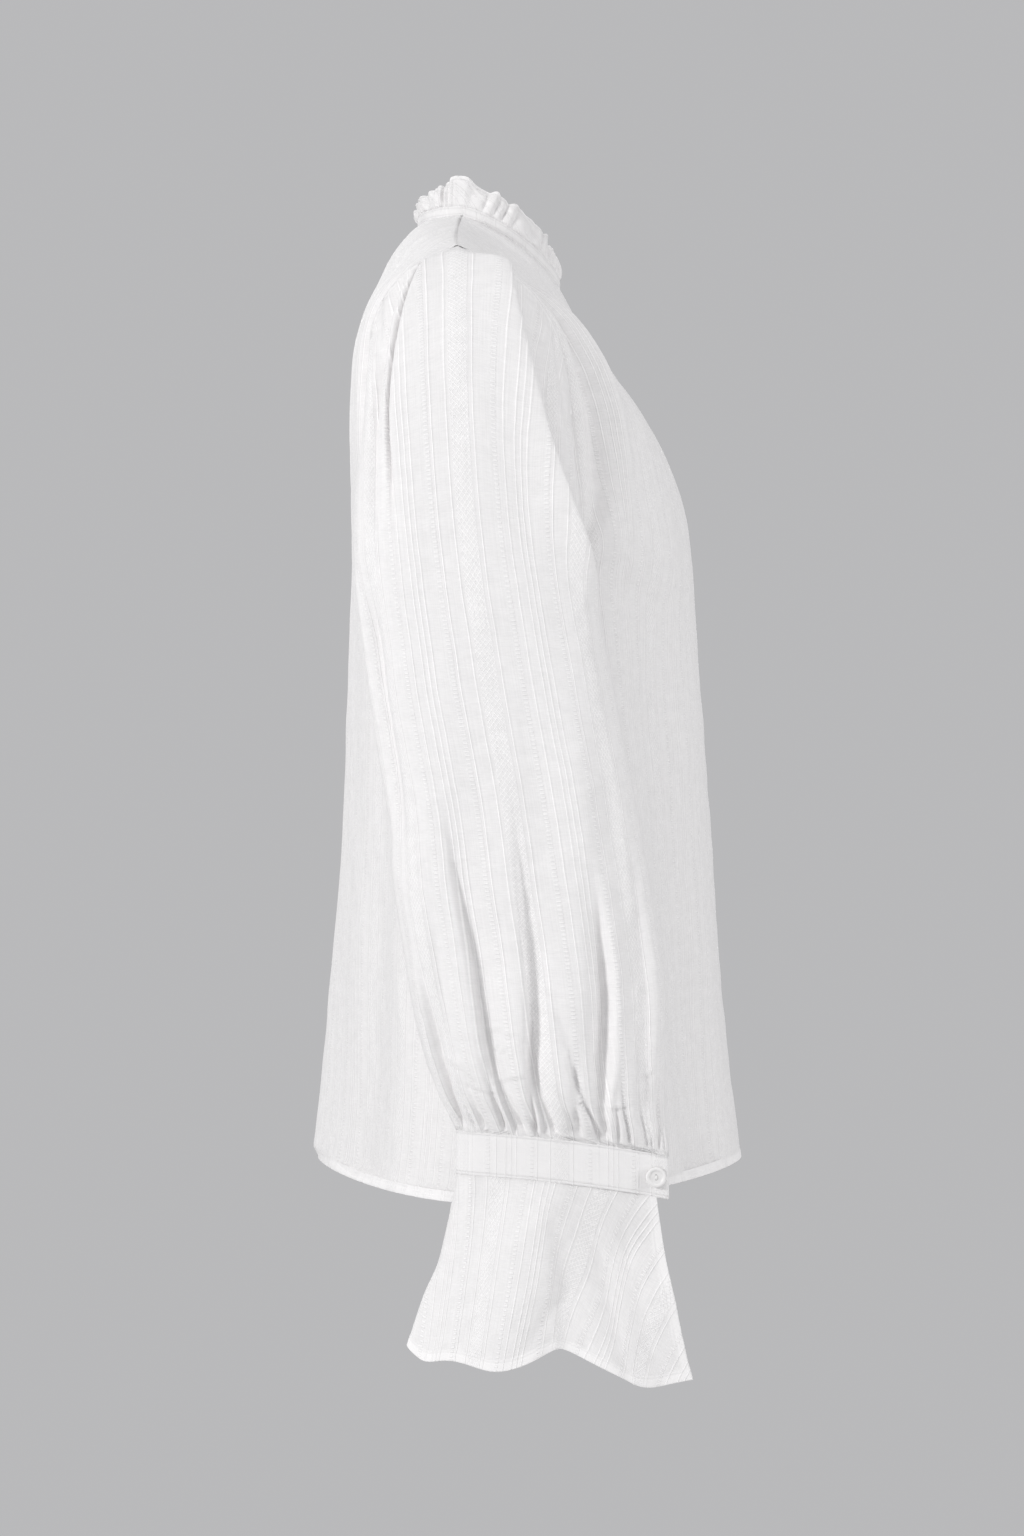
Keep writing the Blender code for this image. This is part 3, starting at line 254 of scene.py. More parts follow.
# ------------------------------ curves
def smooth(t):
    """0 to 1 with level ends."""
    t = np.clip(t, 0.0, 1.0)
    return t * t * (3 - 2 * t)


def bell(off, wide):
    """1 at off 0, falling away over wide on both sides."""
    return np.exp(-((off / wide) ** 2))


def hermite(start, leave, end, arrive, t):
    """A cubic from start to end, with its slopes there."""
    return (
        start * (1 + 2 * t) * (1 - t) ** 2
        + leave * t * (1 - t) ** 2
        + end * t * t * (3 - 2 * t)
        + arrive * t * t * (t - 1)
    )


def spaced(near, length):
    """Places from 0 to length, closer together where near is large."""
    found = np.cumsum(np.append(0, 1 / ((near[1:] + near[:-1]) / 2)))
    return length * found / found[-1]


def steps(points):
    """The lengths between neighbours in each row of a grid of points."""
    return np.linalg.norm(np.diff(points, axis=1), axis=-1)


def summed(step):
    """Lengths from each row's start, from the steps between its places."""
    return np.concatenate([np.zeros((len(step), 1)), np.cumsum(step, axis=1)], axis=1)


def through(rows, name, at, corners=()):
    """A curve through one column of a table, with no overshoot, at the given runs.

    It is smooth but for a change of heading at the runs in corners.
    """
    x, y = np.array([(row.run, getattr(row, name)) for row in rows], float).T
    step = np.diff(x)
    chord = np.diff(y) / step
    before, after = chord[:-1], chord[1:]
    same_way = before * after > 0
    share = (step[:-1] + 2 * step[1:]) / (3 * (step[:-1] + step[1:]))
    mean = before * after / np.where(same_way, share * after + (1 - share) * before, 1.0)
    mean = np.where(same_way, mean, 0.0)
    turning = np.isin(x[1:-1], corners)
    leave = np.append(chord[0], np.where(turning, after, mean))
    arrive = np.append(np.where(turning, before, mean), chord[-1])
    i = np.clip(np.searchsorted(x, at, side="right") - 1, 0, len(x) - 2)
    t = (at - x[i]) / step[i]
    return hermite(y[i], leave[i] * step[i], y[i + 1], arrive[i] * step[i], t)


def stack(x, y, z):
    return np.stack(np.broadcast_arrays(x, y, z), axis=-1)


def unit(v):
    return v / np.maximum(np.linalg.norm(v, axis=-1, keepdims=True), 1e-12)


def fold_centre(run, fold):
    """The fold's angle at each run: a curve through its three places."""
    a, b, c = fold.run_from, fold.run_mid, fold.run_to
    at = np.clip(run, a, c)
    return (
        fold.at_from * (at - b) * (at - c) / ((a - b) * (a - c))
        + fold.at_mid * (at - a) * (at - c) / ((b - a) * (b - c))
        + fold.at_to * (at - a) * (at - b) / ((c - a) * (c - b))
    )


def window(run, fold):
    """1 along a fold's length, fading out at both ends."""
    into = smooth((run - fold.run_from) / fold.fade_in)
    out = smooth((fold.run_to - run) / fold.fade_out)
    return into * out


def panel_rows(rows, across, run, corners):
    """A point of a panel's outer face, before folds. across is 0 at the centre line."""
    def get(name):
        return through(rows, name, run, corners if name.startswith("side") else ())

    zero = np.zeros_like(run)
    start = stack(zero, get("centre_y"), get("centre_z"))
    end = stack(get("side_x"), get("side_y"), get("side_z"))
    turn = np.radians(get("turn"))
    back = np.sign(end[..., 1] - start[..., 1])
    handle_start = stack(get("bow") * end[..., 0], zero, zero)
    handle_end = stack(get("pull") * np.cos(turn), get("pull") * np.sin(turn) * back, get("dip"))
    b = np.asarray(across)[..., None]
    return (
        start * (1 - b) ** 3
        + 3 * (start + handle_start) * b * (1 - b) ** 2
        + 3 * (end - handle_end) * b * b * (1 - b)
        + end * b**3
    )


def panel_base(rows, across, run):
    return panel_rows(rows, across, run, (RUN_SHOULDER_POINT, RUN_UNDERARM))


def soft_panel(rows, across, run):
    """The panel turns its corners sharply at its edge, and softly further in."""
    sharp = panel_base(rows, across, run)
    soft = np.zeros(sharp.shape)
    total = 0.0
    for step in np.linspace(-SOFT_REACH, SOFT_REACH, SOFT_STEPS):
        weight = math.exp(-step * step / 2)
        near = np.clip(run + step * SOFT_RUN, 0.0, RUN_HEM)
        soft += weight * panel_rows(rows, across, near, ())
        total += weight
    soft /= total
    inner = smooth((1 - np.asarray(across)) / SOFT_FROM_EDGE)
    ends = smooth(run / SOFT_FROM_END) * smooth((RUN_HEM - run) / SOFT_FROM_END)
    return sharp + (soft - sharp) * (inner * ends)[..., None]


def normals_of(points, outward, closed=False):
    """Unit normals of a grid of points, turned to the side that outward points to."""
    if closed:
        wrapped = np.concatenate([points[:, -1:], points, points[:, :1]], axis=1)
        across = (wrapped[:, 2:] - wrapped[:, :-2]) / 2
    else:
        across = np.gradient(points, axis=1)
    along = np.gradient(points, axis=0)
    normal = unit(np.cross(across, along))
    facing = np.sign((normal * outward).sum(-1).mean())
    return normal * facing


def body_middle(points):
    """From the body's middle out to each point: level below the chest, and rising above."""
    return stack(points[..., 0], points[..., 1] + 0.02, np.maximum(points[..., 2] + 0.25, 0))


def apart(angle, centre):
    """The signed angle from centre, within half a turn."""
    return (angle - centre + 180.0) % 360.0 - 180.0


def panel_folds(folds, points, across, run):
    """How far each point moves in, from the soft folds of a panel."""
    width = steps(points).sum(axis=1)[:, None]
    depth = np.zeros(points.shape[:-1])
    for fold in folds:
        share = np.clip((run - fold.run_from) / (fold.run_to - fold.run_from), 0, 1)
        centre = fold.across_from + (fold.across_to - fold.across_from) * share
        off = (across - centre) * width
        depth += fold.deep * window(run, fold) * bell(off, fold.wide)
    return depth


def squarish(cos, power):
    """A cosine for a ring that is squarer than an ellipse where power is below 1."""
    return np.sign(cos) * np.abs(cos) ** power


def ring_point(angle, run):
    """A point on the tube below the cap."""
    def get(name):
        return through(SLEEVE_RINGS, name, run)

    turn = np.radians(angle)
    cos, sin = np.cos(turn), np.sin(turn)
    x = get("half_x") * squarish(cos, RING_FLAT)
    y = -get("half_y") * sin
    z = get("tip") * y + cuff_arch(cos) * smooth((run - 0.50) / (RUN_CUFF - 0.50))
    return stack(get("centre_x") + x, get("centre_y") + y, get("centre_z") + z)


def cuff_arch(cos):
    """How far the cuff's outer side is drawn up in its middle."""
    return CUFF_ARCH * np.maximum(cos, 0) ** 2


def armhole_edge(rows, run):
    step = 0.001
    near = 0.995
    edge = np.ones_like(run)
    point = panel_base(rows, edge, run)
    inside = panel_base(rows, edge * near, run)
    later = panel_base(rows, edge, np.minimum(run + step, RUN_UNDERARM))
    sooner = panel_base(rows, edge, np.maximum(run - step, RUN_SHOULDER_POINT))
    along = unit(later - sooner)
    normal = unit(np.cross(point - inside, along))
    normal *= np.sign((normal * body_middle(point)).sum(-1, keepdims=True))
    way = np.cross(along, normal)
    way *= np.sign((way * (point - inside)).sum(-1, keepdims=True))
    return point, normal, unit(way)


def armhole(angle):
    """(point, normal, way out of the panel) on the left armhole, at each angle."""
    share = np.abs(angle) / 180.0
    run = RUN_SHOULDER_POINT + share * (RUN_UNDERARM - RUN_SHOULDER_POINT)
    found = [armhole_edge(rows, run) for rows in (FRONT_ROWS, BACK_ROWS)]
    ahead = (angle >= 0)[..., None]
    # At the shoulder point and the underarm the two panels meet, and their mean is used.
    even = np.clip(np.minimum(share, 1 - share) / 0.06, 0, 1)[..., None]
    point = np.where(ahead, found[0][0], found[1][0])
    mixed = []
    for front, back in (found[0][1], found[1][1]), (found[0][2], found[1][2]):
        own = np.where(ahead, front, back)
        mixed.append(unit(own * even + (front + back) * (1 - even) / 2))
    return point, mixed[0], mixed[1]


def sleeve_base(angle, run):
    """The left sleeve before its folds: the cap as Hermite curves, then the tube."""
    point, _, way = armhole(angle)
    point = point + way * SEAM_GAP
    below = ring_point(angle, np.full_like(run, RUN_BICEPS))
    further = ring_point(angle, np.full_like(run, RUN_BICEPS + 0.02))
    chord = np.linalg.norm(below - point, axis=-1, keepdims=True)
    turn = np.radians(angle)
    top = np.clip(np.cos(turn), 0, 1)
    wish = unit(
        stack(
            0.95 - 0.15 * np.abs(np.sin(turn)),
            -0.18 * np.sin(turn),
            -0.42 - 0.25 * np.abs(np.sin(turn)) + 0.30 * np.clip(-np.cos(turn), 0, 1),
        )
    )
    under = np.clip(-np.cos(turn), 0, 1)[..., None]
    start_way = unit(wish + way * (0.30 + 0.35 * under))
    end_way = unit(further - below)
    pull_start = chord * (0.62 + 0.25 * top[..., None])
    pull_end = chord * 1.25
    t = np.clip(run / RUN_BICEPS, 0, 1)[..., None] ** (1 - 0.4 * under**2)
    cap = hermite(point, start_way * pull_start, below, end_way * pull_end, t)
    return np.where(t < 1, cap, ring_point(angle, np.maximum(run, RUN_BICEPS)))


def cuff_point(angle, down):
    """The cuff's outer face. down is metres below the sleeve seam; angle may pass 360."""
    ring = SLEEVE_RINGS[-1]
    turn = np.radians(angle)
    cos, sin = np.cos(turn), np.sin(turn)
    half_x, half_y = ring.half_x + BAND_CLOTH / 2, ring.half_y + 0.001
    # The lapped end runs on straight instead of following the fold round.
    lap = smooth((angle - (OPENING_AT + 360 - LAP_OVER)) / LAP_OVER)
    x = half_x * squarish(cos, RING_FLAT) + lap * half_x * LAP_OUT
    y = -half_y * sin
    # The free end of the underlap lies inside.
    under = 1 - smooth((angle - OPENING_AT + 6) / UNDER_OVER)
    x = x - under * (BAND_CLOTH + 0.0010) * np.maximum(cos, 0.35)
    y = y + under * (BAND_CLOTH + 0.0008)
    fall = ring.tip * y + cuff_arch(cos) - down
    return stack(ring.centre_x + x + 0.02 * down, ring.centre_y + y, ring.centre_z + fall)


def flounce_point(angle, down, swing):
    """The flounce's outer face. down runs from 0 at the cuff to 1 at its hem."""
    top = cuff_point(angle, np.full_like(down, CUFF_HEIGHT + SEAM_GAP))
    turn = np.radians(angle)
    cos, sin = np.cos(turn), np.sin(turn)
    out = np.zeros_like(angle)
    drop = np.zeros_like(angle)
    for wave in FLOUNCE_WAVES:
        near = bell(apart(angle, wave.at), wave.wide)
        out += wave.out * near
        drop += wave.drop * near
    x = FLOUNCE_CENTRE[0] + (FLOUNCE_HALF_X + out) * squarish(cos, FLOUNCE_FLAT)
    y = FLOUNCE_CENTRE[1] - FLOUNCE_HALF_Y * sin
    z = top[..., 2] - FLOUNCE_LENGTH - drop - FLOUNCE_FALL * sin
    return stack(
        top[..., 0] + (x - top[..., 0]) * (smooth(down) * 0.35 + down * 0.65),
        top[..., 1] + (y - top[..., 1]) * down**1.25 * swing,
        top[..., 2] + (z - top[..., 2]) * down,
    )


def neck_point(angle, up):
    """The neckband's outer face. angle is 0 at the centre front and 180 at the back."""
    turn = (np.asarray(angle) % 360.0) / 180.0
    side = np.where(turn <= 1, 1.0, -1.0)
    share = np.where(turn <= 1, turn, 2 - turn)
    forward = share <= NECK_SIDE_SHARE
    front = panel_base(FRONT_ROWS, np.clip(share / NECK_SIDE_SHARE, 0, 1), np.zeros_like(share))
    rest = np.clip((1 - share) / (1 - NECK_SIDE_SHARE), 0, 1)
    back = panel_base(BACK_ROWS, rest, np.zeros_like(share))
    base = np.where(forward[..., None], front, back)
    base[..., 0] *= side
    return base + up[..., None] * np.array([0.0, 0.0, 1.0])


def neck_frame(angle):
    """(point on the neckline, level way out from the neck's middle, way up the band).

    The band stands square to the neckline, so it leans forwards where that slopes.
    """
    level = np.zeros_like(angle)
    point = neck_point(angle, level)
    along = neck_point(angle + 0.5, level) - neck_point(angle - 0.5, level)
    out = stack(along[..., 1], -along[..., 0], level)
    out = unit(out) * np.sign((out * point).sum(-1, keepdims=True))
    slope = neck_point(angle + NECK_REACH, level) - neck_point(angle - NECK_REACH, level)
    rise = unit(np.cross(out, slope))
    return point, out, rise * np.sign(rise[..., 2:])


def collar_point(angle, up):
    """The collar ruffle. up runs from 0 at the neckband to 1 at its free edge."""
    point, out, rise = neck_frame(angle)
    # uneven waves: their phase and size wander slowly
    turn = np.radians(angle)
    phase = COLLAR_WAVES * turn + 0.9 * np.sin(3 * turn + 0.4) + 0.6 * np.sin(5 * turn)
    wave, size = np.cos(phase), 1 + 0.30 * np.sin(4 * turn + 1.1) + 0.20 * np.sin(7 * turn)
    forward = np.cos(turn)
    tip = np.where(forward > 0, COLLAR_TIP, -COLLAR_LEAN) * forward**2 * up
    stand = COLLAR_WAVE * size * wave * (0.30 + 0.70 * up) - tip
    peak = COLLAR_PEAK * bell(np.abs(apart(angle, 0.0)) - PEAK_AT, PEAK_WIDE)
    height = COLLAR_HEIGHT + peak - COLLAR_LOW * np.maximum(-forward, 0) ** 3
    reach = NECKBAND_HEIGHT + SEAM_GAP + height * up * (1 + 0.05 * size * wave * up)
    centre = out * (stand - (BAND_CLOTH - CLOTH) / 2)[..., None]
    return point + centre + rise * reach[..., None]


def cuff_button_place():
    """Where the cuff's button sits, on the lapped end, and which way it faces."""
    angle = np.array([[BUTTON_AT]])
    down = np.array([[CUFF_HEIGHT * BUTTON_DOWN]])
    here = cuff_point(angle, down)[0, 0]
    along = cuff_point(angle + 2, down)[0, 0] - here
    below = cuff_point(angle, down + 0.002)[0, 0] - here
    axis = unit(np.cross(along, below))
    axis = axis * np.sign(axis[0])
    return here + axis * BUTTON_STAND, axis


BUMP_WAVES = 9


def bumps(u, v, seed, size):
    """Soft unevenness of a cloth between -1 and 1: a few slanting sine waves, unrelated."""
    source = np.random.default_rng(seed)
    total = np.zeros(np.broadcast(u, v).shape)
    for _ in range(BUMP_WAVES):
        way = source.uniform(0, math.pi)
        length = size * source.uniform(0.6, 1.8)
        phase = source.uniform(0, 2 * math.pi)
        total += np.sin(2 * math.pi * (u * math.cos(way) + v * math.sin(way)) / length + phase)
    return total / (BUMP_WAVES / 2)


def crowded(density, low, high, count):
    """For each row of densities, sampled evenly from low to high, count places that crowd
    where it is large."""
    samples = np.linspace(low, high, density.shape[1])
    step = (density[:, 1:] + density[:, :-1]) / 2
    total = summed(step)
    total /= total[:, -1:]
    wanted = np.linspace(0, 1, count)
    return np.array([np.interp(wanted, row, samples) for row in total])


# ------------------------------ meshes
def cells(index, skip=()):
    """The four corners of each cell of a grid of numbers, but for some columns."""
    found = np.stack([index[:-1, :-1], index[1:, :-1], index[1:, 1:], index[:-1, 1:]], axis=-1)
    keep = np.ones(found.shape[1], bool)
    keep[list(skip)] = False
    return found[:, keep].reshape(-1, 4)


def marked(double, seam_shade):
    """Where the cloth lies double, and the painted shade where a seam or a row of stitches draws it
    in.
    """
    return np.stack(np.broadcast_arrays(double, seam_shade), axis=-1)


def sheet_mesh(name, points, flat, marks, outward, welds=(), mirrored=False):
    """A grid of points as one sheet. flat is its (u, v) in metres.

    Each weld (rows, column, other, gone) puts a column of points onto another in some rows,
    and leaves out the cells before it where gone is True.
    """
    rows, columns = points.shape[:2]
    index = np.arange(rows * columns).reshape(rows, columns)
    corner = index.copy()
    skip = []
    for part, column_at, other, gone in welds:
        corner[part, column_at] = corner[part, other]
        if gone:
            skip.append(column_at - 1)
    place = points.reshape(-1, 3)
    quads, loops = cells(corner, skip), cells(index, skip)
    a, b, c = place[quads[:, 0]], place[quads[:, 1]], place[quads[:, 2]]
    if (np.cross(b - a, c - b) * outward.reshape(-1, 3)[loops[:, 0]]).sum() < 0:
        quads, loops = quads[:, ::-1], loops[:, ::-1]
    return finish_mesh(name, place, quads, loops, flat, marks, mirrored)


def placed(name, data):
    """A new object in the scene."""
    made = bpy.data.objects.new(name, data)
    bpy.context.scene.collection.objects.link(made)
    return made


def finish_mesh(name, place, quads, loops, flat, marks, mirrored=False):
    """Drops unused points, then makes the mesh with its flat place and its marks."""
    if mirrored:
        place = place * np.array([-1.0, 1.0, 1.0])
        quads, loops = quads[:, ::-1], loops[:, ::-1]
    used, again = np.unique(quads, return_inverse=True)
    mesh = bpy.data.meshes.new(name)
    mesh.from_pydata(place[used].tolist(), [], again.reshape(quads.shape).tolist())
    layer = mesh.uv_layers.new(name="cloth")
    layer.data.foreach_set("uv", flat.reshape(-1, 2)[loops.ravel()].ravel().astype(np.float32))
    for number, kind in enumerate(("double", "seam_shade")):
        mark = mesh.attributes.new(kind, "FLOAT", "POINT")
        mark.data.foreach_set("value", marks.reshape(-1, 2)[used, number].astype(np.float32))
    mesh.shade_smooth()
    return placed(name, mesh)


def strip_mesh(name, outer, inner, flat, marks, mirrored=False):
    """A closed strip: down the outer face, round the edge and back up the inner one.

    Its long edges are rounded and its two ends capped.
    """
    middle = (outer + inner) / 2
    (top_near, top_far), (low_near, low_far) = (
        [
            share * outer[edge] + (1 - share) * inner[edge]
            + unit(middle[edge] - middle[second]) * FINE_CLOTH * EDGE_ROUND
            for share in (0.78, 0.22)
        ]
        for edge, second in ((0, 1), (-1, -2))
    )
    ring = [top_near[None], outer, low_near[None], low_far[None], inner[::-1], top_far[None]]
    points = np.concatenate([*ring, ring[0]])
    flat, marks = (
        np.concatenate([grid[:1], grid, grid[-1:], grid[-1:], grid[::-1], grid[:1], grid[:1]])
        for grid in (flat, marks)
    )
    rows, columns = points.shape[:2]
    index = np.arange(rows * columns).reshape(rows, columns)
    corner = index.copy()
    corner[-1] = corner[0]
    half = (rows - 1) // 2
    caps = []
    for col, turned in ((0, False), (columns - 1, True)):
        for k in range(half - 1):
            cap = [index[k, col], index[rows - 2 - k, col],
                   index[rows - 3 - k, col], index[k + 1, col]]
            caps.append(cap[::-1] if turned else cap)
    quads = np.concatenate([cells(corner), caps])
    loops = np.concatenate([cells(index), caps])
    place = points.reshape(-1, 3)
    centred = place - place.mean(axis=0)
    a, b, c, d = (centred[quads[:, k]] for k in range(4))
    volume = (a * np.cross(b, c)).sum() + (a * np.cross(c, d)).sum()
    if volume < 0:
        quads, loops = quads[:, ::-1], loops[:, ::-1]
    return finish_mesh(name, place, quads, loops, flat, marks, mirrored)


# ------------------------------ the sleeves
def skewed(off, low, high):
    """A valley of depth 1 at off 0, with its own width on each side."""
    wide = np.where(off < 0, low, high)
    return np.exp(-((np.abs(off) / wide) ** 1.8))


FOLD_DRAWN = 0.060      # folds narrow and flatten over this length above the cuff
GATHER_SLANT = 9.0      # degrees by which gathers lean, 60 mm above the cuff
GATHER_FOOT = 0.0010    # a gather's half width at the seam
GATHER_SPREAD = 0.038   # and how fast it widens further up
GATHER_DEEPER = 1.25
PUCKER_DEEP = 0.0024    # the smaller puckers between two gathers
PUCKER_FOOT = 0.0008
PUCKER_SPREAD = 0.035
EASE_PUCKERS = 22       # short puckers ease the cap into the armhole
EASE_FROM = -62
EASE_STEP = 7.4
EASE_DEEP = 0.0006
EASE_WIDE = 0.0022
CREASE_SCALE = 2.0
LAPPED_AT = 66          # the part that laps at the front is gathered less
LAPPED_WIDE = 34
PUFF_OUT = 0.0012       # rounded puffs swell out over the cuff's edge


def sleeve_depth(angle, run, girth, seed):
    """How far in each point of the sleeve lies from its base form."""
    def away(at):
        return apart(angle, at) / 360.0 * girth

    depth = np.zeros(angle.shape)
    above = RUN_CUFF - run
    # a fold narrows and flattens into a gather where the cuff draws the cloth in
    drawn = smooth((above - 0.004) / FOLD_DRAWN)
    narrow = 0.42 + 0.58 * drawn
    for fold in SLEEVE_FOLDS:
        off = away(fold_centre(run, fold))
        shape = skewed(off, fold.wide_low * narrow, fold.wide_high * narrow)
        depth += fold.deep * (0.40 + 0.60 * drawn) * window(run, fold) * shape
    rise = 0.45 + 0.55 * smooth(above / GATHER_RISE)
    for number, (at, deep, reach) in enumerate(GATHERS):
        reach = reach * (0.85 + 1.15 * math.sin(number * 2.9 + 0.4) ** 2)
        fade = 1 - smooth((above - 0.006) / reach)
        slant = GATHER_SLANT * math.sin(number * 2.4 + seed) * above / 0.06
        slant = slant + 2.6 * math.sin(number * 4.1 + seed)
        wide = GATHER_FOOT + GATHER_SPREAD * above
        odd = number % 2
        sharp = skewed(away(at + slant), wide * (0.7 + 0.4 * odd), wide * (1.1 - 0.4 * odd))
        depth += GATHER_DEEPER * deep * rise * fade * sharp
        # a smaller pucker between two gathers, close above the cuff
        off = away(at + 6 + 2 * math.sin(number * 1.3) + slant)
        length = 0.012 + 0.024 * math.sin(number * 3.7) ** 2
        short = 1 - smooth((above - 0.003) / length)
        size = PUCKER_DEEP * math.sin(number * 5.1 + 1) ** 2
        depth += size * short * bell(off, PUCKER_FOOT + PUCKER_SPREAD * above)
    for number in range(EASE_PUCKERS):
        at = EASE_FROM + EASE_STEP * number + 2.5 * math.sin(number * 1.9)
        length = 0.018 + 0.010 * math.sin(number * 2.7)
        pucker = smooth(run / 0.004) * (1 - smooth((run - 0.004) / length))
        depth += EASE_DEEP * pucker * bell(away(at + 10 * run / 0.1), EASE_WIDE)
    for crease_run, at, half_round, half_along, slant, deep in CREASES:
        off = away(at)
        along = run - crease_run - off * slant
        line = bell(off, half_round) * along / half_along * bell(along, half_along)
        depth += deep * CREASE_SCALE * line
    depth *= 1 - 0.45 * smooth(1 - above / 0.06) * bell(apart(angle, LAPPED_AT), LAPPED_WIDE)
    # all draws in where it is sewn
    depth *= 0.40 + 0.60 * smooth(above / 0.007)
    return depth - PUFF_OUT * (1 - smooth((above - 0.006) / 0.030))


CAP_ANGLES = (0, 30, 60, 90, 120, 150, 180)
CAP_ACROSS = (0.0, 0.036, 0.063, 0.081, 0.096, 0.128, 0.200)
CAP_DOWN = (0.0, 0.010, 0.040, 0.080, 0.118, 0.165, 0.205)
FLAT_PER_DEGREE = 0.400 / 360
UNDER_COLUMNS = 78      # columns from the slit round to the underarm seam
ALLOWANCE = 0.0085      # the cap's seam allowance, which shows as double cloth
SLEEVE_DROP = 0.0004    # the gathered end comes down to the cuff's edge
LAP_DROP = 0.0010       # and further at its lap
CAP_BACK = 0.0004       # the cap's edge goes in under the edge of front and back
CAP_UNDER = 0.0009


def sleeve_flat(angle, run):
    """Where each point of the sleeve lies on its flat cut: across the stripes and along."""
    share = np.clip(run / RUN_BICEPS, 0, 1)
    cap_across = np.sign(angle) * np.interp(np.abs(angle), CAP_ANGLES, CAP_ACROSS)
    cap_down = np.interp(np.abs(angle), CAP_ANGLES, CAP_DOWN)
    across = cap_across * (1 - share) + angle * FLAT_PER_DEGREE * share
    down = cap_down + (RUN_BICEPS - cap_down) * share + np.maximum(run - RUN_BICEPS, 0)
    return np.stack([across, -down], axis=-1)


def sleeve_runs():
    """Rows, closer at the cap's seam and above the cuff."""
    share = np.linspace(0, 1, SLEEVE_ROWS)
    near = 1 + 1.6 * bell(share, 0.03) + 0.9 * bell(1 - share, 0.10)
    return spaced(near, RUN_CUFF)


def sleeve_columns(start, end, runs, count):
    """The angles of each row's columns, closer together at the folds."""
    grid_angle, grid_run = np.meshgrid(np.linspace(start, end, 721), runs)
    density = np.ones(grid_angle.shape)
    for fold in SLEEVE_FOLDS:
        off = apart(grid_angle, fold_centre(grid_run, fold)) * FLAT_PER_DEGREE
        wide = 1.6 * min(fold.wide_low, fold.wide_high) + 0.004
        sharpness = 1.0 + 0.004 / min(fold.wide_low, fold.wide_high)
        density += sharpness * window(grid_run, fold) * bell(off, wide)
    return crowded(density, start, end, count)


def fine_sleeve(name, mirrored, seed):
    runs = sleeve_runs()
    under = UNDER_COLUMNS
    angle = np.concatenate(
        [
            sleeve_columns(SLIT_AT, 180.0, runs, under),
            sleeve_columns(-180.0, SLIT_AT, runs, SLEEVE_COLUMNS - under),
        ],
        axis=1,
    )
    run = np.repeat(runs[:, None], SLEEVE_COLUMNS, axis=1)
    above = RUN_CUFF - run
    base = sleeve_base(angle, run)
    # the columns once round, without the doubled one on the underarm seam
    once = [k for k in range(SLEEVE_COLUMNS - 1) if k != under]
    ring = base[:, once]
    normal = np.empty(base.shape)
    normal[:, once] = normals_of(ring, ring - ring.mean(axis=1, keepdims=True), closed=True)
    normal[:, under] = normal[:, under - 1]
    normal[:, -1] = normal[:, 0]
    depth = sleeve_depth(angle, run, steps(base).sum(axis=1)[:, None], seed)
    flat = sleeve_flat(angle, run)
    from_underarm = 180 - np.abs(angle)
    soft = smooth(run / 0.03) * smooth(above / 0.02)
    soft = soft * smooth(from_underarm / 8)
    depth += 0.0007 * soft * bumps(flat[..., 0], flat[..., 1] * 0.6, seed, 0.055)
    depth += 0.00025 * soft * bumps(flat[..., 0], flat[..., 1] * 0.8, seed + 9, 0.017)
    # the pressed seams lie a little lower than the cloth on both sides
    depth += 0.0006 * bell(run, 0.0022)
    depth += 0.0009 * bell(from_underarm * FLAT_PER_DEGREE, 0.0018)
    points = base - normal * (depth + UNDER_FACE)[..., None]
    # towards the cuff's lapped end the sleeve runs straight on with it
    lap = smooth((angle - (OPENING_AT - LAP_OVER)) / LAP_OVER) * smooth(1 - above / 0.040)
    lap[:, :under] = 0.0
    points[..., 0] += lap * (SLEEVE_RINGS[-1].half_x + BAND_CLOTH / 2) * LAP_OUT
    end = smooth((run - (RUN_CUFF - 0.002)) / 0.002)
    points[..., 2] -= (SLEEVE_DROP + LAP_DROP * lap) * end
    edge, edge_normal, way = armhole(angle[0])
    points[0] = edge - way * CAP_BACK - edge_normal * CAP_UNDER
    joined = int((runs <= RUN_CUFF - SLEEVE_SLIT).sum())
    for near, beside in ((0, 1), (-1, -2)):
        points[joined:, near] += unit(points[joined:, beside] - points[joined:, near]) * SEAM_GAP
    allowance = ALLOWANCE * (0.55 + 0.45 * np.cos(np.radians(angle)))
    double = 1 - smooth((run - allowance) / 0.0012)
    double *= smooth((75 - np.abs(angle)) / 25)
    double[joined:, :4] = 1.0
    double[joined:, -4:] = 1.0
    # painted shade in the grooves of the cap seam, the allowance's edge, the underarm seam and the
    # cuff seam
    seam_shade = bell(run, 0.0016) + 0.6 * bell(run - allowance, 0.0005)
    seam_shade = seam_shade + bell(from_underarm * FLAT_PER_DEGREE, 0.0010)
    seam_shade = seam_shade + 0.8 * bell(above, 0.0016)
    whole = slice(0, len(runs))
    welds = ((whole, under, under - 1, True), (slice(0, joined), SLEEVE_COLUMNS - 1, 0, False))
    return sheet_mesh(name, points, flat, marked(double, seam_shade), normal, welds, mirrored)


# ------------------------------ front and back
def panel_runs():
    """Rows from the neckline to the hem's edge, closer at the neck and at the hem."""
    share = np.linspace(0, 1, PANEL_ROWS)
    near = 1 + 1.2 * bell(share, 0.05) + 2.0 * bell(1 - share, 0.02)
    return spaced(near, RUN_HEM)


PANEL_DEEPER = 1.5      # the fine panels' folds against the solids'
RIDGES = ((0.0105, 0.0007), (0.0145, 0.0006), (0.0180, 0.0004))
NECK_GATHERS = 26
NECK_GATHER_STEP = 0.0042
HEM_FOLD = 3            # of the hem's extra rows, those round its fold
EDGE_GAP = 0.00012      # half the gap of two panels' sewn edges
TOP_RISE = 0.0012       # the top edge goes up behind the neckband
TOP_BACK = 0.0006
FACING = 0.0062         # the opening's two edges are turned in and stitched
FACING_STITCH = 0.0056


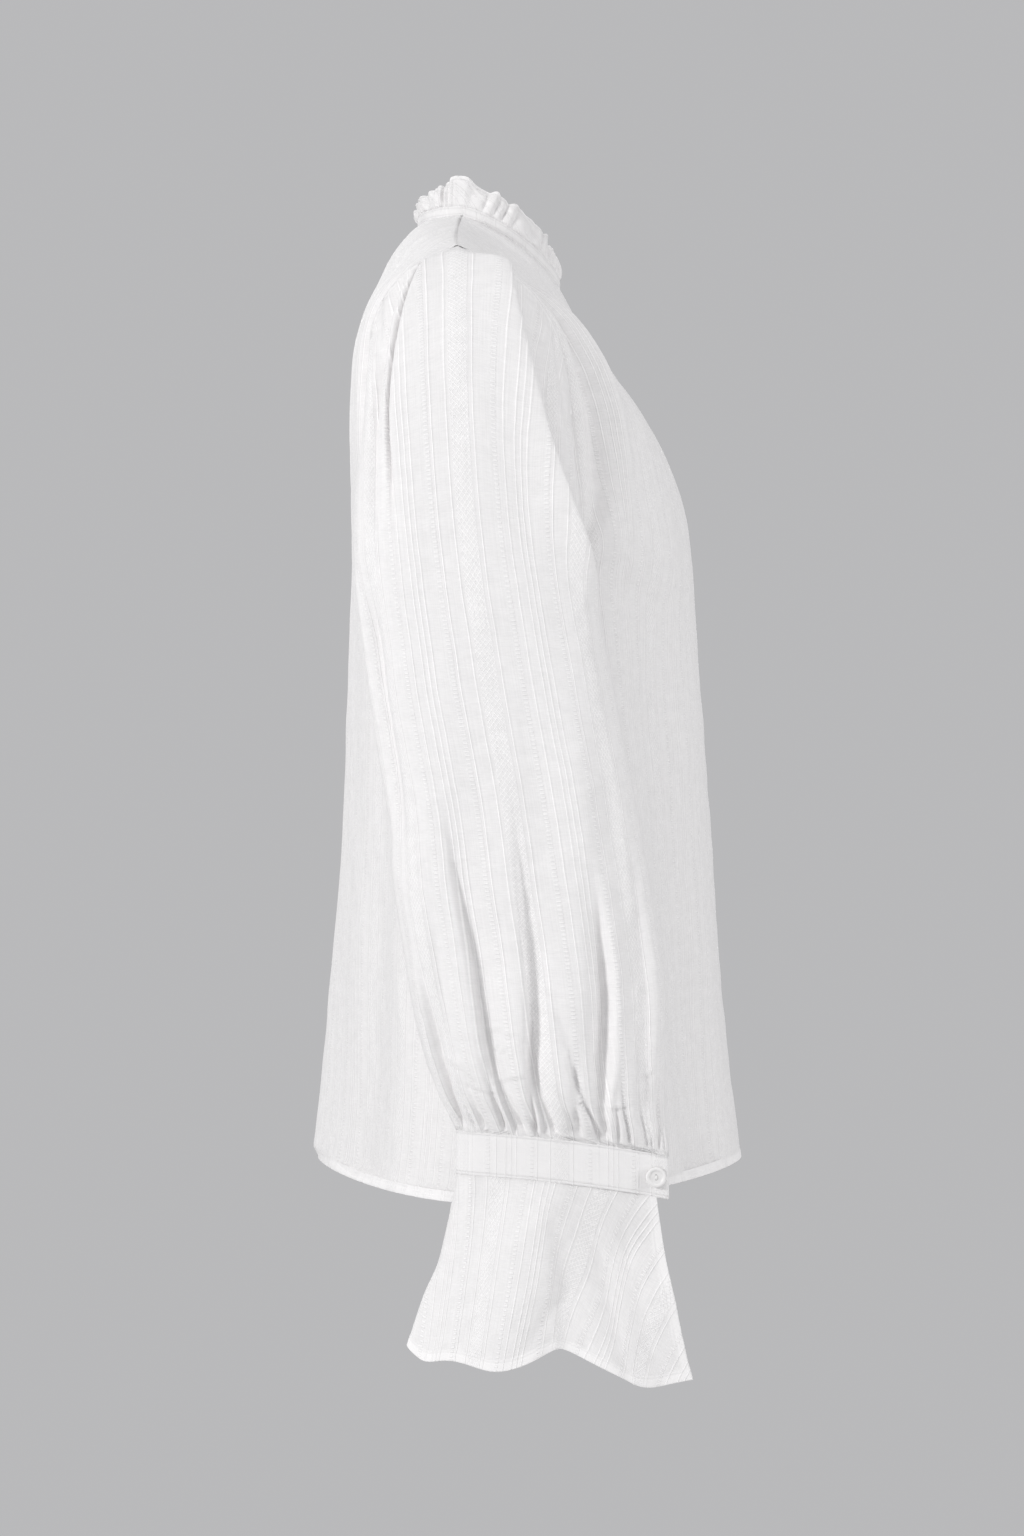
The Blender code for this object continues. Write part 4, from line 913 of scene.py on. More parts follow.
def panel_flat(base, normal):
    """Where each point of a panel lies on its flat cut: out from the middle, and up."""
    step = np.diff(base, axis=1)
    level = 1 - (normal[:, 1:, 2] ** 2)
    u = summed(np.sqrt(step[..., 0] ** 2 + level * step[..., 1] ** 2))
    step = np.diff(base, axis=0)
    tall = np.sqrt(step[..., 2] ** 2 + normal[1:, :, 2] ** 2 * step[..., 1] ** 2)
    v = summed(tall.T).T
    return np.stack([u, v[-1:] - v + base[-1:, :, 2]], axis=-1)


def turned_hem(base, normal, depth):
    """Rows of points round the hem's fold and up its inside."""
    up = unit(base[-2] - base[-1])
    extra = []
    for k in range(1, HEM_TURN + 1):
        if k <= HEM_FOLD:
            turn = math.pi * k / HEM_FOLD
            out, rise = 0.00015 - 0.0006 * (1 - math.cos(turn)) / 2, -0.0005 * math.sin(turn)
        else:
            out, rise = -0.0011, (HEM_DEPTH - 0.0004) * (k - HEM_FOLD) / (HEM_TURN - HEM_FOLD)
        extra.append(base[-1] + normal[-1] * (out - depth[-1])[..., None] + up * rise)
    return extra


def half_sheet(rows, folds, side, slit):
    """(points, normals, flat place, marks) of half a panel, laid out on the wearer's left.

    The hem is turned up inside. side is -1 for the half that is then mirrored.
    """
    ahead = rows is FRONT_ROWS
    share = np.linspace(0, 1, PANEL_HALF)
    # columns are closer at the armhole's seam
    across, run = np.meshgrid(share + 0.06 * np.sin(np.pi * share) ** 2 * share, panel_runs())
    base = soft_panel(rows, across, run)
    normal = normals_of(base, body_middle(base))
    # towards the sewn edges the normals lose their y, so that both panels' agree
    on_seam = (run[:, -1] <= RUN_SHOULDER_POINT) | (run[:, -1] >= RUN_UNDERARM)
    normal[:, 0, 0] = 0
    normal[..., 1] *= 1 - np.clip(1 - (1 - across) / 0.06, 0, 1) ** 2 * on_seam[:, None]
    normal = unit(normal)
    flat = panel_flat(base, normal)
    u, v = flat[..., 0], flat[..., 1]
    depth = PANEL_DEEPER * panel_folds(folds, base, across, run)
    soft = smooth(run / 0.02) * smooth((RUN_HEM - run) / 0.02) * smooth((1 - across) / 0.06)
    seed = 3 if ahead else 4
    depth += 0.0010 * soft * bumps(u * side, v * 0.5, seed, 0.080)
    depth += 0.0003 * soft * bumps(u * side, v * 0.7, seed + 5, 0.022)
    to_seam = (1 - across) * u[:, -1:]
    # the front's edge lies over the back's along the shoulder
    lapped = ahead * smooth((RUN_SHOULDER_POINT - run) / 0.012)
    depth += (0.0007 - 0.0013 * lapped) * bell(to_seam, 0.0024)
    # the hem stands a little proud, and its stitches draw in
    double = smooth((run - (RUN_HEM - HEM_DEPTH)) / 0.0008)
    stitched = bell(run - (RUN_HEM - HEM_DEPTH + 0.0008), 0.0006)
    proud = 0.00045 * double - 0.00030 * stitched
    # beside the shoulder seam the front lies in small ridges below the neckband
    shoulder = smooth((across - 0.42) / 0.25) * ahead
    for at, rise in RIDGES:
        line = shoulder * bell(run - at, 0.0013)
        proud = proud + rise * line
        double = np.maximum(double, line)
    # painted shade in the grooves of the hem's stitches, the sewn edges and the neckline seam
    seam_shade = 0.8 * stitched + bell(to_seam, 0.0008) * (1 - 0.8 * lapped)
    seam_shade = seam_shade + 0.7 * bell(run, 0.0018)
    # fine gathers run down from the neckband
    for number in range(NECK_GATHERS):
        at = 0.004 + NECK_GATHER_STEP * number + 0.0012 * math.sin(number * 2.3)
        length = 0.022 + 0.014 * math.sin(number * 1.7 + seed + side)
        line = bell(u - at * (1 + 4 * run), 0.0016)
        depth += 0.0005 * line * smooth(run / 0.002) * (1 - smooth(run / length))
    if slit:
        near = smooth((slit + 0.004 - run) / 0.004)
        facing = near * (1 - smooth((u - FACING) / 0.0008))
        stitched = near * bell(u - FACING_STITCH, 0.0005)
        proud = proud + 0.0003 * facing - 0.00025 * stitched
        # and painted shade in the facing's row of stitches
        seam_shade = seam_shade + 0.8 * stitched
        double = np.maximum(double, facing)
    points = base + normal * (proud - depth - UNDER_FACE)[..., None]
    points[on_seam, -1, 1] += -EDGE_GAP if ahead else EDGE_GAP
    points[0] += np.array([0.0, 0.0, TOP_RISE]) - normal[0] * TOP_BACK
    below = flat[-1:] - np.arange(1, HEM_TURN + 1)[:, None, None] * np.array([0.0, 0.001])
    return (
        np.concatenate([points, turned_hem(base, normal, depth)]),
        np.concatenate([normal, np.zeros((HEM_TURN, PANEL_HALF, 3))]),
        np.concatenate([flat, below]),
        np.concatenate([marked(double, seam_shade), np.ones((HEM_TURN, PANEL_HALF, 2)) * (1.0, 0.0)]),
    )


def fine_panel(name, rows, folds, slit=0.0):
    """Both halves as one sheet that is open along the slit."""
    runs = np.append(panel_runs(), np.full(HEM_TURN, RUN_HEM))
    open_rows = int((runs < slit).sum())
    halves = []
    for side in (-1, 1):
        points, normal, flat, marks = half_sheet(rows, folds, side, slit)
        points[:, 0, 0] = 0.0
        gap = 0.0003 + 0.0006 * np.clip(1 - runs / max(slit, 0.001), 0, 1)
        gap = np.where(runs < slit, gap, 0.0)[:, None]
        points[..., 0] += gap * np.exp(-flat[..., 0] / 0.02)
        for grid in (points, normal, flat):
            grid[..., 0] *= side
        halves.append([points, normal, flat, marks])
    joined = [np.concatenate([a[:, ::-1], b], axis=1) for a, b in zip(*halves)]
    points, normal, flat, marks = joined
    welds = ((slice(open_rows, len(runs)), PANEL_HALF, PANEL_HALF - 1, True),)
    return sheet_mesh(name, points, flat, marks, normal, welds)


# ------------------------------ cuffs and flounces
CUFF_STITCH = 0.0015    # the cuff's stitches, in from its edges
CUFF_FLAT_FROM = 0.031  # where the cuff and the neckband start on the woven stripe
NECKBAND_FLAT_FROM = 0.02
NECKBAND_STITCH = 0.0012


def fine_cuff(name, mirrored):
    # the underlap's length as an angle at the cuff's front fold
    lap = math.degrees(CUFF_LAP / SLEEVE_RINGS[-1].half_y) * 1.25
    start, end = OPENING_AT - lap, OPENING_AT + 360
    edge_rows = np.array([0.0007, 0.0011, 0.0015, 0.0019, 0.0023])
    downs = np.concatenate(
        [
            [SEAM_GAP], edge_rows, np.linspace(0.003, CUFF_HEIGHT - 0.003, 12),
            CUFF_HEIGHT - edge_rows[::-1], [CUFF_HEIGHT],
        ]
    )
    angle, down = np.meshgrid(np.linspace(start, end, CUFF_COLUMNS), downs)
    outer = cuff_point(angle, down)
    normal = normals_of(outer, outer - outer.mean(axis=(0, 1)))
    u = summed(steps(outer))
    to_end = np.minimum(u, u[:, -1:] - u)
    nearest = np.minimum(np.minimum(down - SEAM_GAP, CUFF_HEIGHT - down), to_end)
    sewn = bell(nearest - CUFF_STITCH, 0.00045)
    puff = 0.00030 * bumps(u, down, 31, 0.020) * smooth(nearest / 0.003)
    shape = -0.00038 * sewn - 0.00035 * bell(nearest, 0.0005) + puff
    inner = outer - normal * (BAND_CLOTH - 0.0004)
    outer = outer + normal * shape[..., None]
    flat = np.stack([u + CUFF_FLAT_FROM, -down], axis=-1)
    # its stitch lines also carry painted shade in their grooves
    return strip_mesh(name, outer, inner, flat, marked(1.0, sewn), mirrored)


FLOUNCE_RADIUS = 0.128  # the inner radius of the flat ring that the flounce is cut from
FLOUNCE_FLAT_ANGLE = -14.0
FLOUNCE_HEM_ROWS = 15
CORNER_AT = -87         # the right flounce's back corner is folded to a point
CORNER_WIDE = 9
FLUTES = 24             # fluting starts in small gathers under the cuff
FLUTE_STEP = 12.2
END_BACK = 0.0035       # the end that lies behind keeps back from the front one
# Lobes with one crisp edge each: an angle, and how far in the cloth lies there.
LOBES = (
    (-90, 0), (-58, 0.0012), (-38, 0.0008), (-22, -0.0030), (-12, -0.0064), (-3, -0.0082),
    (10, 0), (24, 0.0125), (46, 0.0132), (66, 0.0042), (86, 0), (140, -0.0010),
    (158, 0.0060), (178, 0.0040), (210, -0.0012), (236, 0.0055), (258, 0.0030), (270, 0),
)


def fine_flounce(name, swing, mirrored, seed):
    hem = np.linspace(1 - HEM_DEPTH / FLOUNCE_LENGTH - 0.012, 1, FLOUNCE_HEM_ROWS)
    rest = np.linspace(0, hem[0], FLOUNCE_LINES - FLOUNCE_HEM_ROWS + 1)[:-1]
    angle, down = np.meshgrid(np.linspace(FLOUNCE_FROM, FLOUNCE_TO, FLOUNCE_COLUMNS),
                              np.concatenate([rest, hem]))
    base = flounce_point(angle, down, swing)
    normal = normals_of(base, base - base.mean(axis=1, keepdims=True))
    around = summed(steps(base))
    depth = 0.0008 * smooth(down / 0.15) * bumps(around, down * 0.05, seed, 0.060)
    depth += 0.00025 * smooth(down / 0.1) * bumps(around, down * 0.08, seed + 3, 0.018)
    lobes = sum(
        np.interp((angle + off + 12 * (1 - down) + 90) % 360 - 90, *zip(*LOBES))
        for off in np.linspace(-3, 3, 7)
    ) / 7
    depth += smooth((down + 0.06) / 0.40) * lobes
    corner = 0.0045 if mirrored else -0.0030
    folded = skewed(apart(angle, CORNER_AT), CORNER_WIDE, CORNER_WIDE)
    depth -= corner * smooth((down - 0.45) / 0.5) * folded
    for number in range(FLUTES):
        at = FLOUNCE_FROM + 8 + number * FLUTE_STEP + 3 * math.sin(number * 2.1)
        off = (angle - at) / 360 * around[:1, -1:]
        depth += 0.0006 * bell(off, 0.0035) * (1 - smooth(down / 0.35))
    # its hem is turned and stitched along the lower edge and both ends
    to_end = np.minimum(around, around[:, -1:] - around)
    nearest = np.minimum((1 - down) * FLOUNCE_LENGTH, to_end)
    into = 1 - smooth((nearest - HEM_DEPTH + 0.0012) / 0.0008)
    stitch = bell(nearest - HEM_DEPTH + 0.0018, 0.0005)
    depth += -0.00040 * into + 0.00025 * stitch
    outer = base - normal * (depth + 0.0002)[..., None]
    outer[..., 1] += END_BACK * (bell(angle - FLOUNCE_FROM, 9) * smooth(down / 0.3))
    inner = outer - normal * (0.0005 + 0.0007 * into)[..., None]
    top = around[0]
    bearing = (top - top[-1] / 2)[None] / FLOUNCE_RADIUS + math.radians(FLOUNCE_FLAT_ANGLE)
    reach = FLOUNCE_RADIUS + down * FLOUNCE_LENGTH
    flat = np.stack([reach * np.sin(bearing), -(reach * np.cos(bearing))], axis=-1)
    # painted shade in the grooves of the hem's stitches and of the cuff seam
    seam_shade = 0.8 * stitch + 0.7 * bell(down * FLOUNCE_LENGTH, 0.0015)
    return strip_mesh(name, outer, inner, flat, marked(into, seam_shade), mirrored)


# ------------------------------ neckband and ruffle
def fine_neckband(name):
    ups = np.concatenate(
        [[SEAM_GAP, 0.0008, 0.0012, 0.0016], np.linspace(0.0022, NECKBAND_HEIGHT - 0.0022, 6),
         NECKBAND_HEIGHT - np.array([0.0016, 0.0012, 0.0008, 0.0])]
    )
    ends = COLLAR_END / 2, 360 - COLLAR_END / 2
    angle, up = np.meshgrid(np.linspace(*ends, NECKBAND_COLUMNS), ups)
    point, out, rise = neck_frame(angle)
    outer = point + rise * up[..., None]
    u = summed(steps(outer))
    nearest = np.minimum(up - SEAM_GAP, NECKBAND_HEIGHT - up)
    sewn = bell(nearest - NECKBAND_STITCH, 0.0004)
    shape = -0.0002 * sewn - 0.0003 * bell(nearest, 0.0005)
    shape = shape + 0.00015 * bumps(u, up, 77, 0.016)
    inner = outer - out * (BAND_CLOTH - 0.0005)
    outer = outer + out * shape[..., None]
    flat = np.stack([u + NECKBAND_FLAT_FROM, up], axis=-1)
    # its stitch lines also carry painted shade in their grooves
    return strip_mesh(name, outer, inner, flat, marked(1.0, sewn))


RUFFLE_PUFFS = 23       # rounded puffs between pinched gathers
PUFF_HEIGHT = 0.0030
RUFFLE_HEM = 0.90       # the hem starts at this share of the ruffle's height
MIDDLE_COLUMNS = 6      # columns at each end that keep to their side of the middle


def fine_ruffle(name):
    ups = np.concatenate([np.linspace(0, 0.10, 5), np.linspace(0.14, 0.90, 18),
                          [0.93, 0.95, 0.97, 0.985, 1.0]])
    angle, up = np.meshgrid(np.linspace(COLLAR_END, 360 - COLLAR_END, COLLAR_COLUMNS), ups)
    base = collar_point(angle, up)
    _, out, rise = neck_frame(angle)
    normal = normals_of(base, out)
    turn = np.radians(angle)
    # the puffs differ from one to the next
    phase = RUFFLE_PUFFS * turn + 1.5 * np.sin(4 * turn + 1) + 0.9 * np.sin(9 * turn)
    puff = np.sqrt(np.cos(phase) ** 2 + 0.03)
    # the tallest lobe on each side is smooth
    calm = bell(np.abs(apart(angle, 0.0)) - PEAK_AT, PEAK_WIDE)
    puff = puff + (0.85 - puff) * 0.85 * calm
    size = 1 + 0.35 * np.sin(5 * turn + 0.6) + 0.25 * np.sin(11 * turn)
    other = np.sin(13 * turn + 0.8 * np.sin(3 * turn))
    swell = np.sin(np.pi * np.clip(up * 0.80 + 0.12, 0, 1))
    shape = (PUFF_HEIGHT * puff * size - 0.0014) * swell + 0.0008 * other * up
    shape = shape * smooth(up / 0.08)
    hemmed = smooth((up - RUFFLE_HEM) / 0.03)
    outer = base + normal * (shape - 0.0001)[..., None]
    outer += rise * (0.0016 * (puff - 0.6) * size)[..., None] * (up**2)[..., None]
    inner = outer - normal * (0.0005 + 0.0005 * hemmed)[..., None]
    inner[0] = outer[0] - out[0] * 0.0006
    for points in (outer, inner):
        first, last = points[:, :MIDDLE_COLUMNS, 0], points[:, -MIDDLE_COLUMNS:, 0]
        np.maximum(first, SEAM_GAP, out=first)
        np.minimum(last, -SEAM_GAP, out=last)
    flat = np.stack([summed(steps(base)), COLLAR_HEIGHT * up], axis=-1)
    # painted shade in the grooves of the hem's stitches and of the neckband seam
    seam_shade = 0.8 * bell(up - 0.905, 0.02) + 0.8 * bell(up, 0.05)
    return strip_mesh(name, outer, inner, flat, marked(0.35 + 0.65 * hemmed, seam_shade))


# ------------------------------ buttons
BUTTON_STEPS = 72


def fine_button(name, mirrored):
    """A round button with a raised rim and a shallow dish; pearl paints its two holes as dark spots
    of painted shade.
    """
    centre, axis = cuff_button_place()
    axis = unit(np.array(axis, float))
    first = unit(np.cross(axis, (0.0, 0.0, 1.0)))
    second = np.cross(axis, first)
    radius, thick = BUTTON_DIAMETER / 2, BUTTON_THICKNESS
    profile = [  # (share of the radius, share of the thickness), from the dish round to below
        (0.02, 0.60), (0.18, 0.60), (0.40, 0.61), (0.52, 0.63), (0.60, 0.68), (0.66, 0.80),
        (0.71, 0.93), (0.77, 0.99), (0.84, 1.00), (0.91, 0.95), (0.96, 0.83), (0.99, 0.66),
        (1.00, 0.50), (0.98, 0.33), (0.93, 0.15), (0.86, 0.04), (0.76, 0.0), (0.02, 0.0),
    ]
    turn = np.linspace(0, 2 * math.pi, BUTTON_STEPS, endpoint=False)
    points, flat = [], []
    for share, height in profile:
        ring = radius * share * (np.cos(turn)[:, None] * first + np.sin(turn)[:, None] * second)
        points.append(centre + ring + axis * height * thick)
        flat.append(np.stack([share * np.cos(turn), share * np.sin(turn)], -1) * radius)
    points, flat = np.array(points), np.array(flat)
    points = np.concatenate([points, points[:, :1]], axis=1)
    flat = np.concatenate([flat, flat[:, :1]], axis=1)
    outward = points - centre - axis * thick / 2
    welds = ((slice(0, len(profile)), BUTTON_STEPS, 0, False),)
    marks = np.zeros(points.shape[:2] + (2,))
    made = sheet_mesh(name, points, flat, marks, outward, welds, mirrored)
    return made, centre, axis, first, second


THREAD_RADIUS = 0.00016
STITCHES = (-0.00035, -0.00012, 0.00012, 0.00035)
STITCH_HALF = 0.0013    # half a stitch's length
SHANK_RADIUS = 0.0007
THREAD_SIDES = 8


def thread_mesh(name, lines, mirrored):
    """Round threads along lines of points, as one mesh."""
    turn = np.linspace(0, 2 * math.pi, THREAD_SIDES, endpoint=False)
    places, faces, count = [], [], 0
    for points in lines:
        points = np.array(points, float)
        along = unit(np.gradient(points, axis=0))
        side = unit(np.cross(along, np.array([0.31, 0.52, 0.79])))
        over = np.cross(along, side)
        ring = np.cos(turn)[None, :, None] * side[:, None]
        ring = ring + np.sin(turn)[None, :, None] * over[:, None]
        places.append((points[:, None] + ring * THREAD_RADIUS).reshape(-1, 3))
        index = np.arange(len(places[-1])).reshape(-1, THREAD_SIDES)
        after = np.roll(index, -1, axis=1)
        quads = np.stack([index[:-1], after[:-1], after[1:], index[1:]], axis=-1)
        faces.append(quads.reshape(-1, 4) + count)
        count += len(places[-1])
    place, quads = np.concatenate(places), np.concatenate(faces)
    blank = np.zeros((count, 2))
    return finish_mesh(name, place, quads, quads, blank, blank, mirrored)


# ------------------------------ finishes
class Graph:
    """Short words for building a material's nodes."""

    def __init__(self, name):
        self.material = bpy.data.materials.new(name)
        self.material.use_nodes = True
        self.nodes = self.material.node_tree.nodes
        self.links = self.material.node_tree.links
        self.shader = self.nodes["Principled BSDF"]

    def node(self, kind, **settings):
        made = self.nodes.new(kind)
        for key, value in settings.items():
            setattr(made, key, value)
        return made

    def put(self, socket, value):
        if isinstance(value, bpy.types.NodeSocket):
            self.links.new(value, socket)
        else:
            socket.default_value = value

    def math(self, operation, *values, clamp=False):
        made = self.node("ShaderNodeMath", operation=operation, use_clamp=clamp)
        for socket, value in zip(made.inputs, values):
            self.put(socket, value)
        return made.outputs[0]

    def chart(self, value, stops):
        """A curve of grey through (place, value) stops."""
        made = self.node("ShaderNodeValToRGB")
        self.put(made.inputs[0], value)
        elements = made.color_ramp.elements
        while len(elements) < len(stops):
            elements.new(0.5)
        for element, (at, level) in zip(elements, stops):
            element.position = at
            element.color = (level, level, level, 1)
        return made.outputs[0]

    def noise(self, vector, scale, detail=2.0, roughness=0.5):
        made = self.node("ShaderNodeTexNoise")
        self.put(made.inputs["Vector"], vector)
        self.put(made.inputs["Scale"], scale)
        self.put(made.inputs["Detail"], detail)
        self.put(made.inputs["Roughness"], roughness)
        return made.outputs["Fac"]

    def point(self, x, y):
        made = self.node("ShaderNodeCombineXYZ")
        self.put(made.inputs[0], x)
        self.put(made.inputs[1], y)
        return made.outputs[0]

    def times(self, first, second, clamp=False):
        return self.math("MULTIPLY", first, second, clamp=clamp)

    def vary(self, value, share, middle=1.0):
        """middle, with up to half of share more or less as a noise goes up and down."""
        return self.math("MULTIPLY_ADD", self.math("SUBTRACT", value, 0.5), share, middle)

    def steep(self, value, start, slope):
        """0 below start, then rising to 1."""
        return self.times(self.math("SUBTRACT", value, start), slope, clamp=True)

    def mix(self, share, first, second):
        """first + share * (second - first) for plain numbers or sockets."""
        return self.math("MULTIPLY_ADD", share, self.math("SUBTRACT", second, first), first)

    def mark(self, name):
        return self.node("ShaderNodeAttribute", attribute_name=name).outputs["Fac"]

    def paint(self, level, tint):
        """The base colour: a tint dimmed by a grey level."""
        made = self.node("ShaderNodeMix", data_type="RGBA")
        for socket, value in ((0, level), (6, (0.0, 0.0, 0.0, 1.0)), (7, (*tint, 1.0))):
            self.put(made.inputs[socket], value)
        self.put(self.shader.inputs["Base Color"], made.outputs[2])

    def bump(self, height, strength, distance):
        made = self.node("ShaderNodeBump")
        for name, value in (("Height", height), ("Strength", strength), ("Distance", distance)):
            self.put(made.inputs[name], value)
        self.put(self.shader.inputs["Normal"], made.outputs[0])


# The woven stripe in millimetres across one repeat: fine lines, ladders of short floats and
# one band of crossing diagonals.
REPEAT = 62.5
LINES = (7.1, 22.6, 28.4, 31.6, 34.8, 47.6, 55.6)
LINE_HALF = 0.24
LINE_BESIDE = 0.75
LADDERS = (17.5, 44.6)
LADDER_HALF = 1.05
BAND_HALF = 4.7
SOFT_EDGE = 0.26
LADDER_STEP = 0.0025    # metres along the cloth from one rung to the next
LATTICE_STEP = 0.0026   # metres across it from one diagonal to the next
LATTICE_SLOPE = 0.72
SWAY = 0.0009           # metres in all by which threads sway from side to side
GREY_DOUBLE = 0.60      # how far double cloth goes towards its own grey
SEAM_SHADE = -0.10       # how much darker the painted shade in a drawn-in seam's groove is
BESIDE_SHADE = -0.045    # and the painted shade beside the lines, for the shadow of the raised floats


def stripe_stops(places, half):
    """Stops of a chart that is 1 within half of each place in the repeat."""
    stops = []
    for at in places:
        for off, level in ((-half - SOFT_EDGE, 0), (-half, 1), (half, 1), (half + SOFT_EDGE, 0)):
            stops.append(((at + off) / REPEAT, level))
    return stops


def jacquard(name, plain, raised, whiter, contrast=1.0):
    """White cotton with a woven stripe. plain and raised are the greys of the ground and of
    the floats, whiter that of double cloth, and contrast is how far the stripe shows."""
    g = Graph(name)
    place = g.node("ShaderNodeUVMap", uv_map="cloth").outputs[0]
    split = g.node("ShaderNodeSeparateXYZ")
    g.put(split.inputs[0], place)
    u, v = split.outputs[0], split.outputs[1]

    def threads_of(across, along, *detail):
        return g.noise(g.point(g.times(u, across), g.times(v, along)), 1.0, *detail)

    # threads are never quite straight
    sway = g.math("SUBTRACT", g.noise(place, 28.0, 1.0), 0.5)
    u_sway = g.math("MULTIPLY_ADD", sway, SWAY, u)
    share = g.math("FRACT", g.times(u_sway, 1000.0 / REPEAT))
    lines = g.chart(share, stripe_stops(LINES, LINE_HALF))
    ladder = g.chart(share, stripe_stops(LADDERS, LADDER_HALF))
    # beside each line of floats a painted shade stands in for the shadow of the raised floats
    shifted = g.math("FRACT", g.math("ADD", share, 1 - LINE_BESIDE / REPEAT))
    beside = g.chart(shifted, stripe_stops(LINES, LINE_HALF))
    inside, soft = BAND_HALF / REPEAT, SOFT_EDGE / REPEAT
    band = g.chart(share, ((0, 1), (inside, 1), (inside + soft, 0), (1 - inside - soft, 0),
                           (1 - inside, 1), (1, 1)))
    rungs = g.steep(g.math("PINGPONG", g.times(v, 1 / LADDER_STEP), 0.5), 0.20, 9.0)
    crossing = []
    for sign in (1.0, -1.0):
        slant = g.math("MULTIPLY_ADD", u_sway, sign, g.times(v, LATTICE_SLOPE))
        wave = g.math("PINGPONG", g.times(slant, 1 / LATTICE_STEP), 0.5)
        crossing.append(g.times(g.math("SUBTRACT", 0.17, wave), 12.0, clamp=True))
    lattice = g.math("MAXIMUM", *crossing)
    eye = g.times(*[g.times(g.math("SUBTRACT", 0.10, c), 10.0, clamp=True) for c in crossing])
    figure = g.math("MAXIMUM", lattice, g.times(eye, 0.25))
    floats = g.math("MAXIMUM", lines, g.times(ladder, rungs))
    floats = g.math("MAXIMUM", floats, g.times(band, figure))
    shown = g.times(floats, contrast)
    # warp streaks, weft slubs, the plain weave's grain and cloudy patches
    streaks = threads_of(1500.0, 26.0)
    slubs = threads_of(190.0, 1300.0, 3.0)
    grain = threads_of(2600.0, 2600.0)
    cloud = threads_of(95.0, 140.0, 5.0, 0.6)
    level = g.mix(g.times(shown, g.mix(ladder, 1.0, 0.50)), plain, raised)
    uneven = 1.0
    for noise, much in ((streaks, 0.14), (slubs, 0.15), (grain, 0.10), (cloud, 0.14)):
        uneven = g.vary(noise, much, uneven)
    # the painted shade beside the float lines goes into the uneven tone
    uneven = g.math("MULTIPLY_ADD", beside, BESIDE_SHADE * contrast, uneven)
    level = g.mix(g.times(g.mark("double"), GREY_DOUBLE), g.times(level, uneven), whiter)
    # painted shade in the grooves of seams and rows of stitches, from the seam shade mark
    drawn = g.times(g.math("MINIMUM", g.mark("seam_shade"), 1.0), SEAM_SHADE)
    g.paint(g.times(level, g.math("ADD", drawn, 1.0)), (1.0, 0.987, 0.986))
    g.put(g.shader.inputs["Roughness"], g.mix(shown, 0.86, 0.58))
    g.shader.inputs["Sheen Weight"].default_value = 0.12
    g.shader.inputs["Sheen Roughness"].default_value = 0.5
    g.shader.inputs["Specular IOR Level"].default_value = 0.25
    # floats stand proud of the ground and threads show as fine ribs
    height = g.times(shown, 0.00030)
    for noise, much in ((streaks, 0.00016), (slubs, 0.00022), (grain, 0.00006)):
        height = g.math("MULTIPLY_ADD", noise, much, height)
    g.bump(height, 0.8, 1.0)
    return g.material


HOLE_AWAY = 0.0011      # from the button's middle to each hole
HOLE_RADIUS = 0.0005
HOLE_SOFT = 0.0003


def pearl(name):
    """A moulded white button with a faint cloudy depth."""
    g = Graph(name)
    place = g.node("ShaderNodeTexCoord").outputs["Object"]
    cloud = g.noise(place, 380.0, 3.0, 0.6)
    # two small holes, which the thread goes through, as dark spots of painted shade; the mesh has
    # no holes
    split = g.node("ShaderNodeSeparateXYZ")
    g.put(split.inputs[0], g.node("ShaderNodeUVMap", uv_map="cloth").outputs[0])
    aside = g.math("SUBTRACT", g.math("ABSOLUTE", split.outputs[1]), HOLE_AWAY)
    away = g.math("SQRT", g.math("ADD", g.math("POWER", aside, 2.0),
                                 g.math("POWER", split.outputs[0], 2.0)))
    solid = g.steep(away, HOLE_RADIUS, 1 / HOLE_SOFT)
    g.paint(g.times(g.vary(cloud, 0.05, 0.78), g.mix(solid, 0.22, 1.0)), (1.0, 0.988, 0.982))
    fine = g.noise(place, 1900.0, 2.0)
    g.put(g.shader.inputs["Roughness"], g.math("MULTIPLY_ADD", fine, 0.10, 0.38))
    g.shader.inputs["Coat Weight"].default_value = 0.04
    g.shader.inputs["Coat Roughness"].default_value = 0.30
    g.bump(cloud, 0.15, 0.0002)
    return g.material


def plain_finish(name, scale, detail, uneven, grey, tint, roughness, bumps_by=None):
    """One pale colour with a noise of the given scale, which also gives its bump."""
    g = Graph(name)
    cloud = g.noise(g.node("ShaderNodeTexCoord").outputs["Object"], scale, detail)
    g.paint(g.vary(cloud, uneven, grey), tint)
    g.shader.inputs["Roughness"].default_value = roughness
    if bumps_by:
        g.bump(cloud, *bumps_by)
    return g.material


# ------------------------------ camera, light and floor
PIXELS_PER_METRE_AT_1 = 3143.0
CAMERA_AWAY = 2.2
CAMERA_AT = (-CAMERA_AWAY, -0.012, -0.3743)
FRAME_LONG_SIDE = 1536.0
SENSOR = 36.0           # millimetres
FLOOR_DOWN = -1.40
FLOOR_RADIUS = 1.25
FLOOR_SIDES = 96
SURROUND = (0.487, 0.487, 0.496, 1.0)
# Each light's name, place, target, size across and power.
LIGHTS = (
    ("key", (-1.7, 1.9, 0.25), (-0.2, 0.0, -0.50), 0.5, 32.0),
    ("low", (-2.9, 0.2, -0.90), (-0.2, 0.0, -0.65), 1.2, 10.0),
    ("fill", (-0.9, -2.6, 0.2), (0.0, -0.1, -0.40), 1.4, 28.0),
    ("top", (-0.5, 0.3, 1.7), (-0.1, 0.0, -0.30), 1.2, 7.0),
    ("rear", (2.2, 0.6, 0.6), (0.1, 0.0, -0.35), 1.6, 18.0),
)


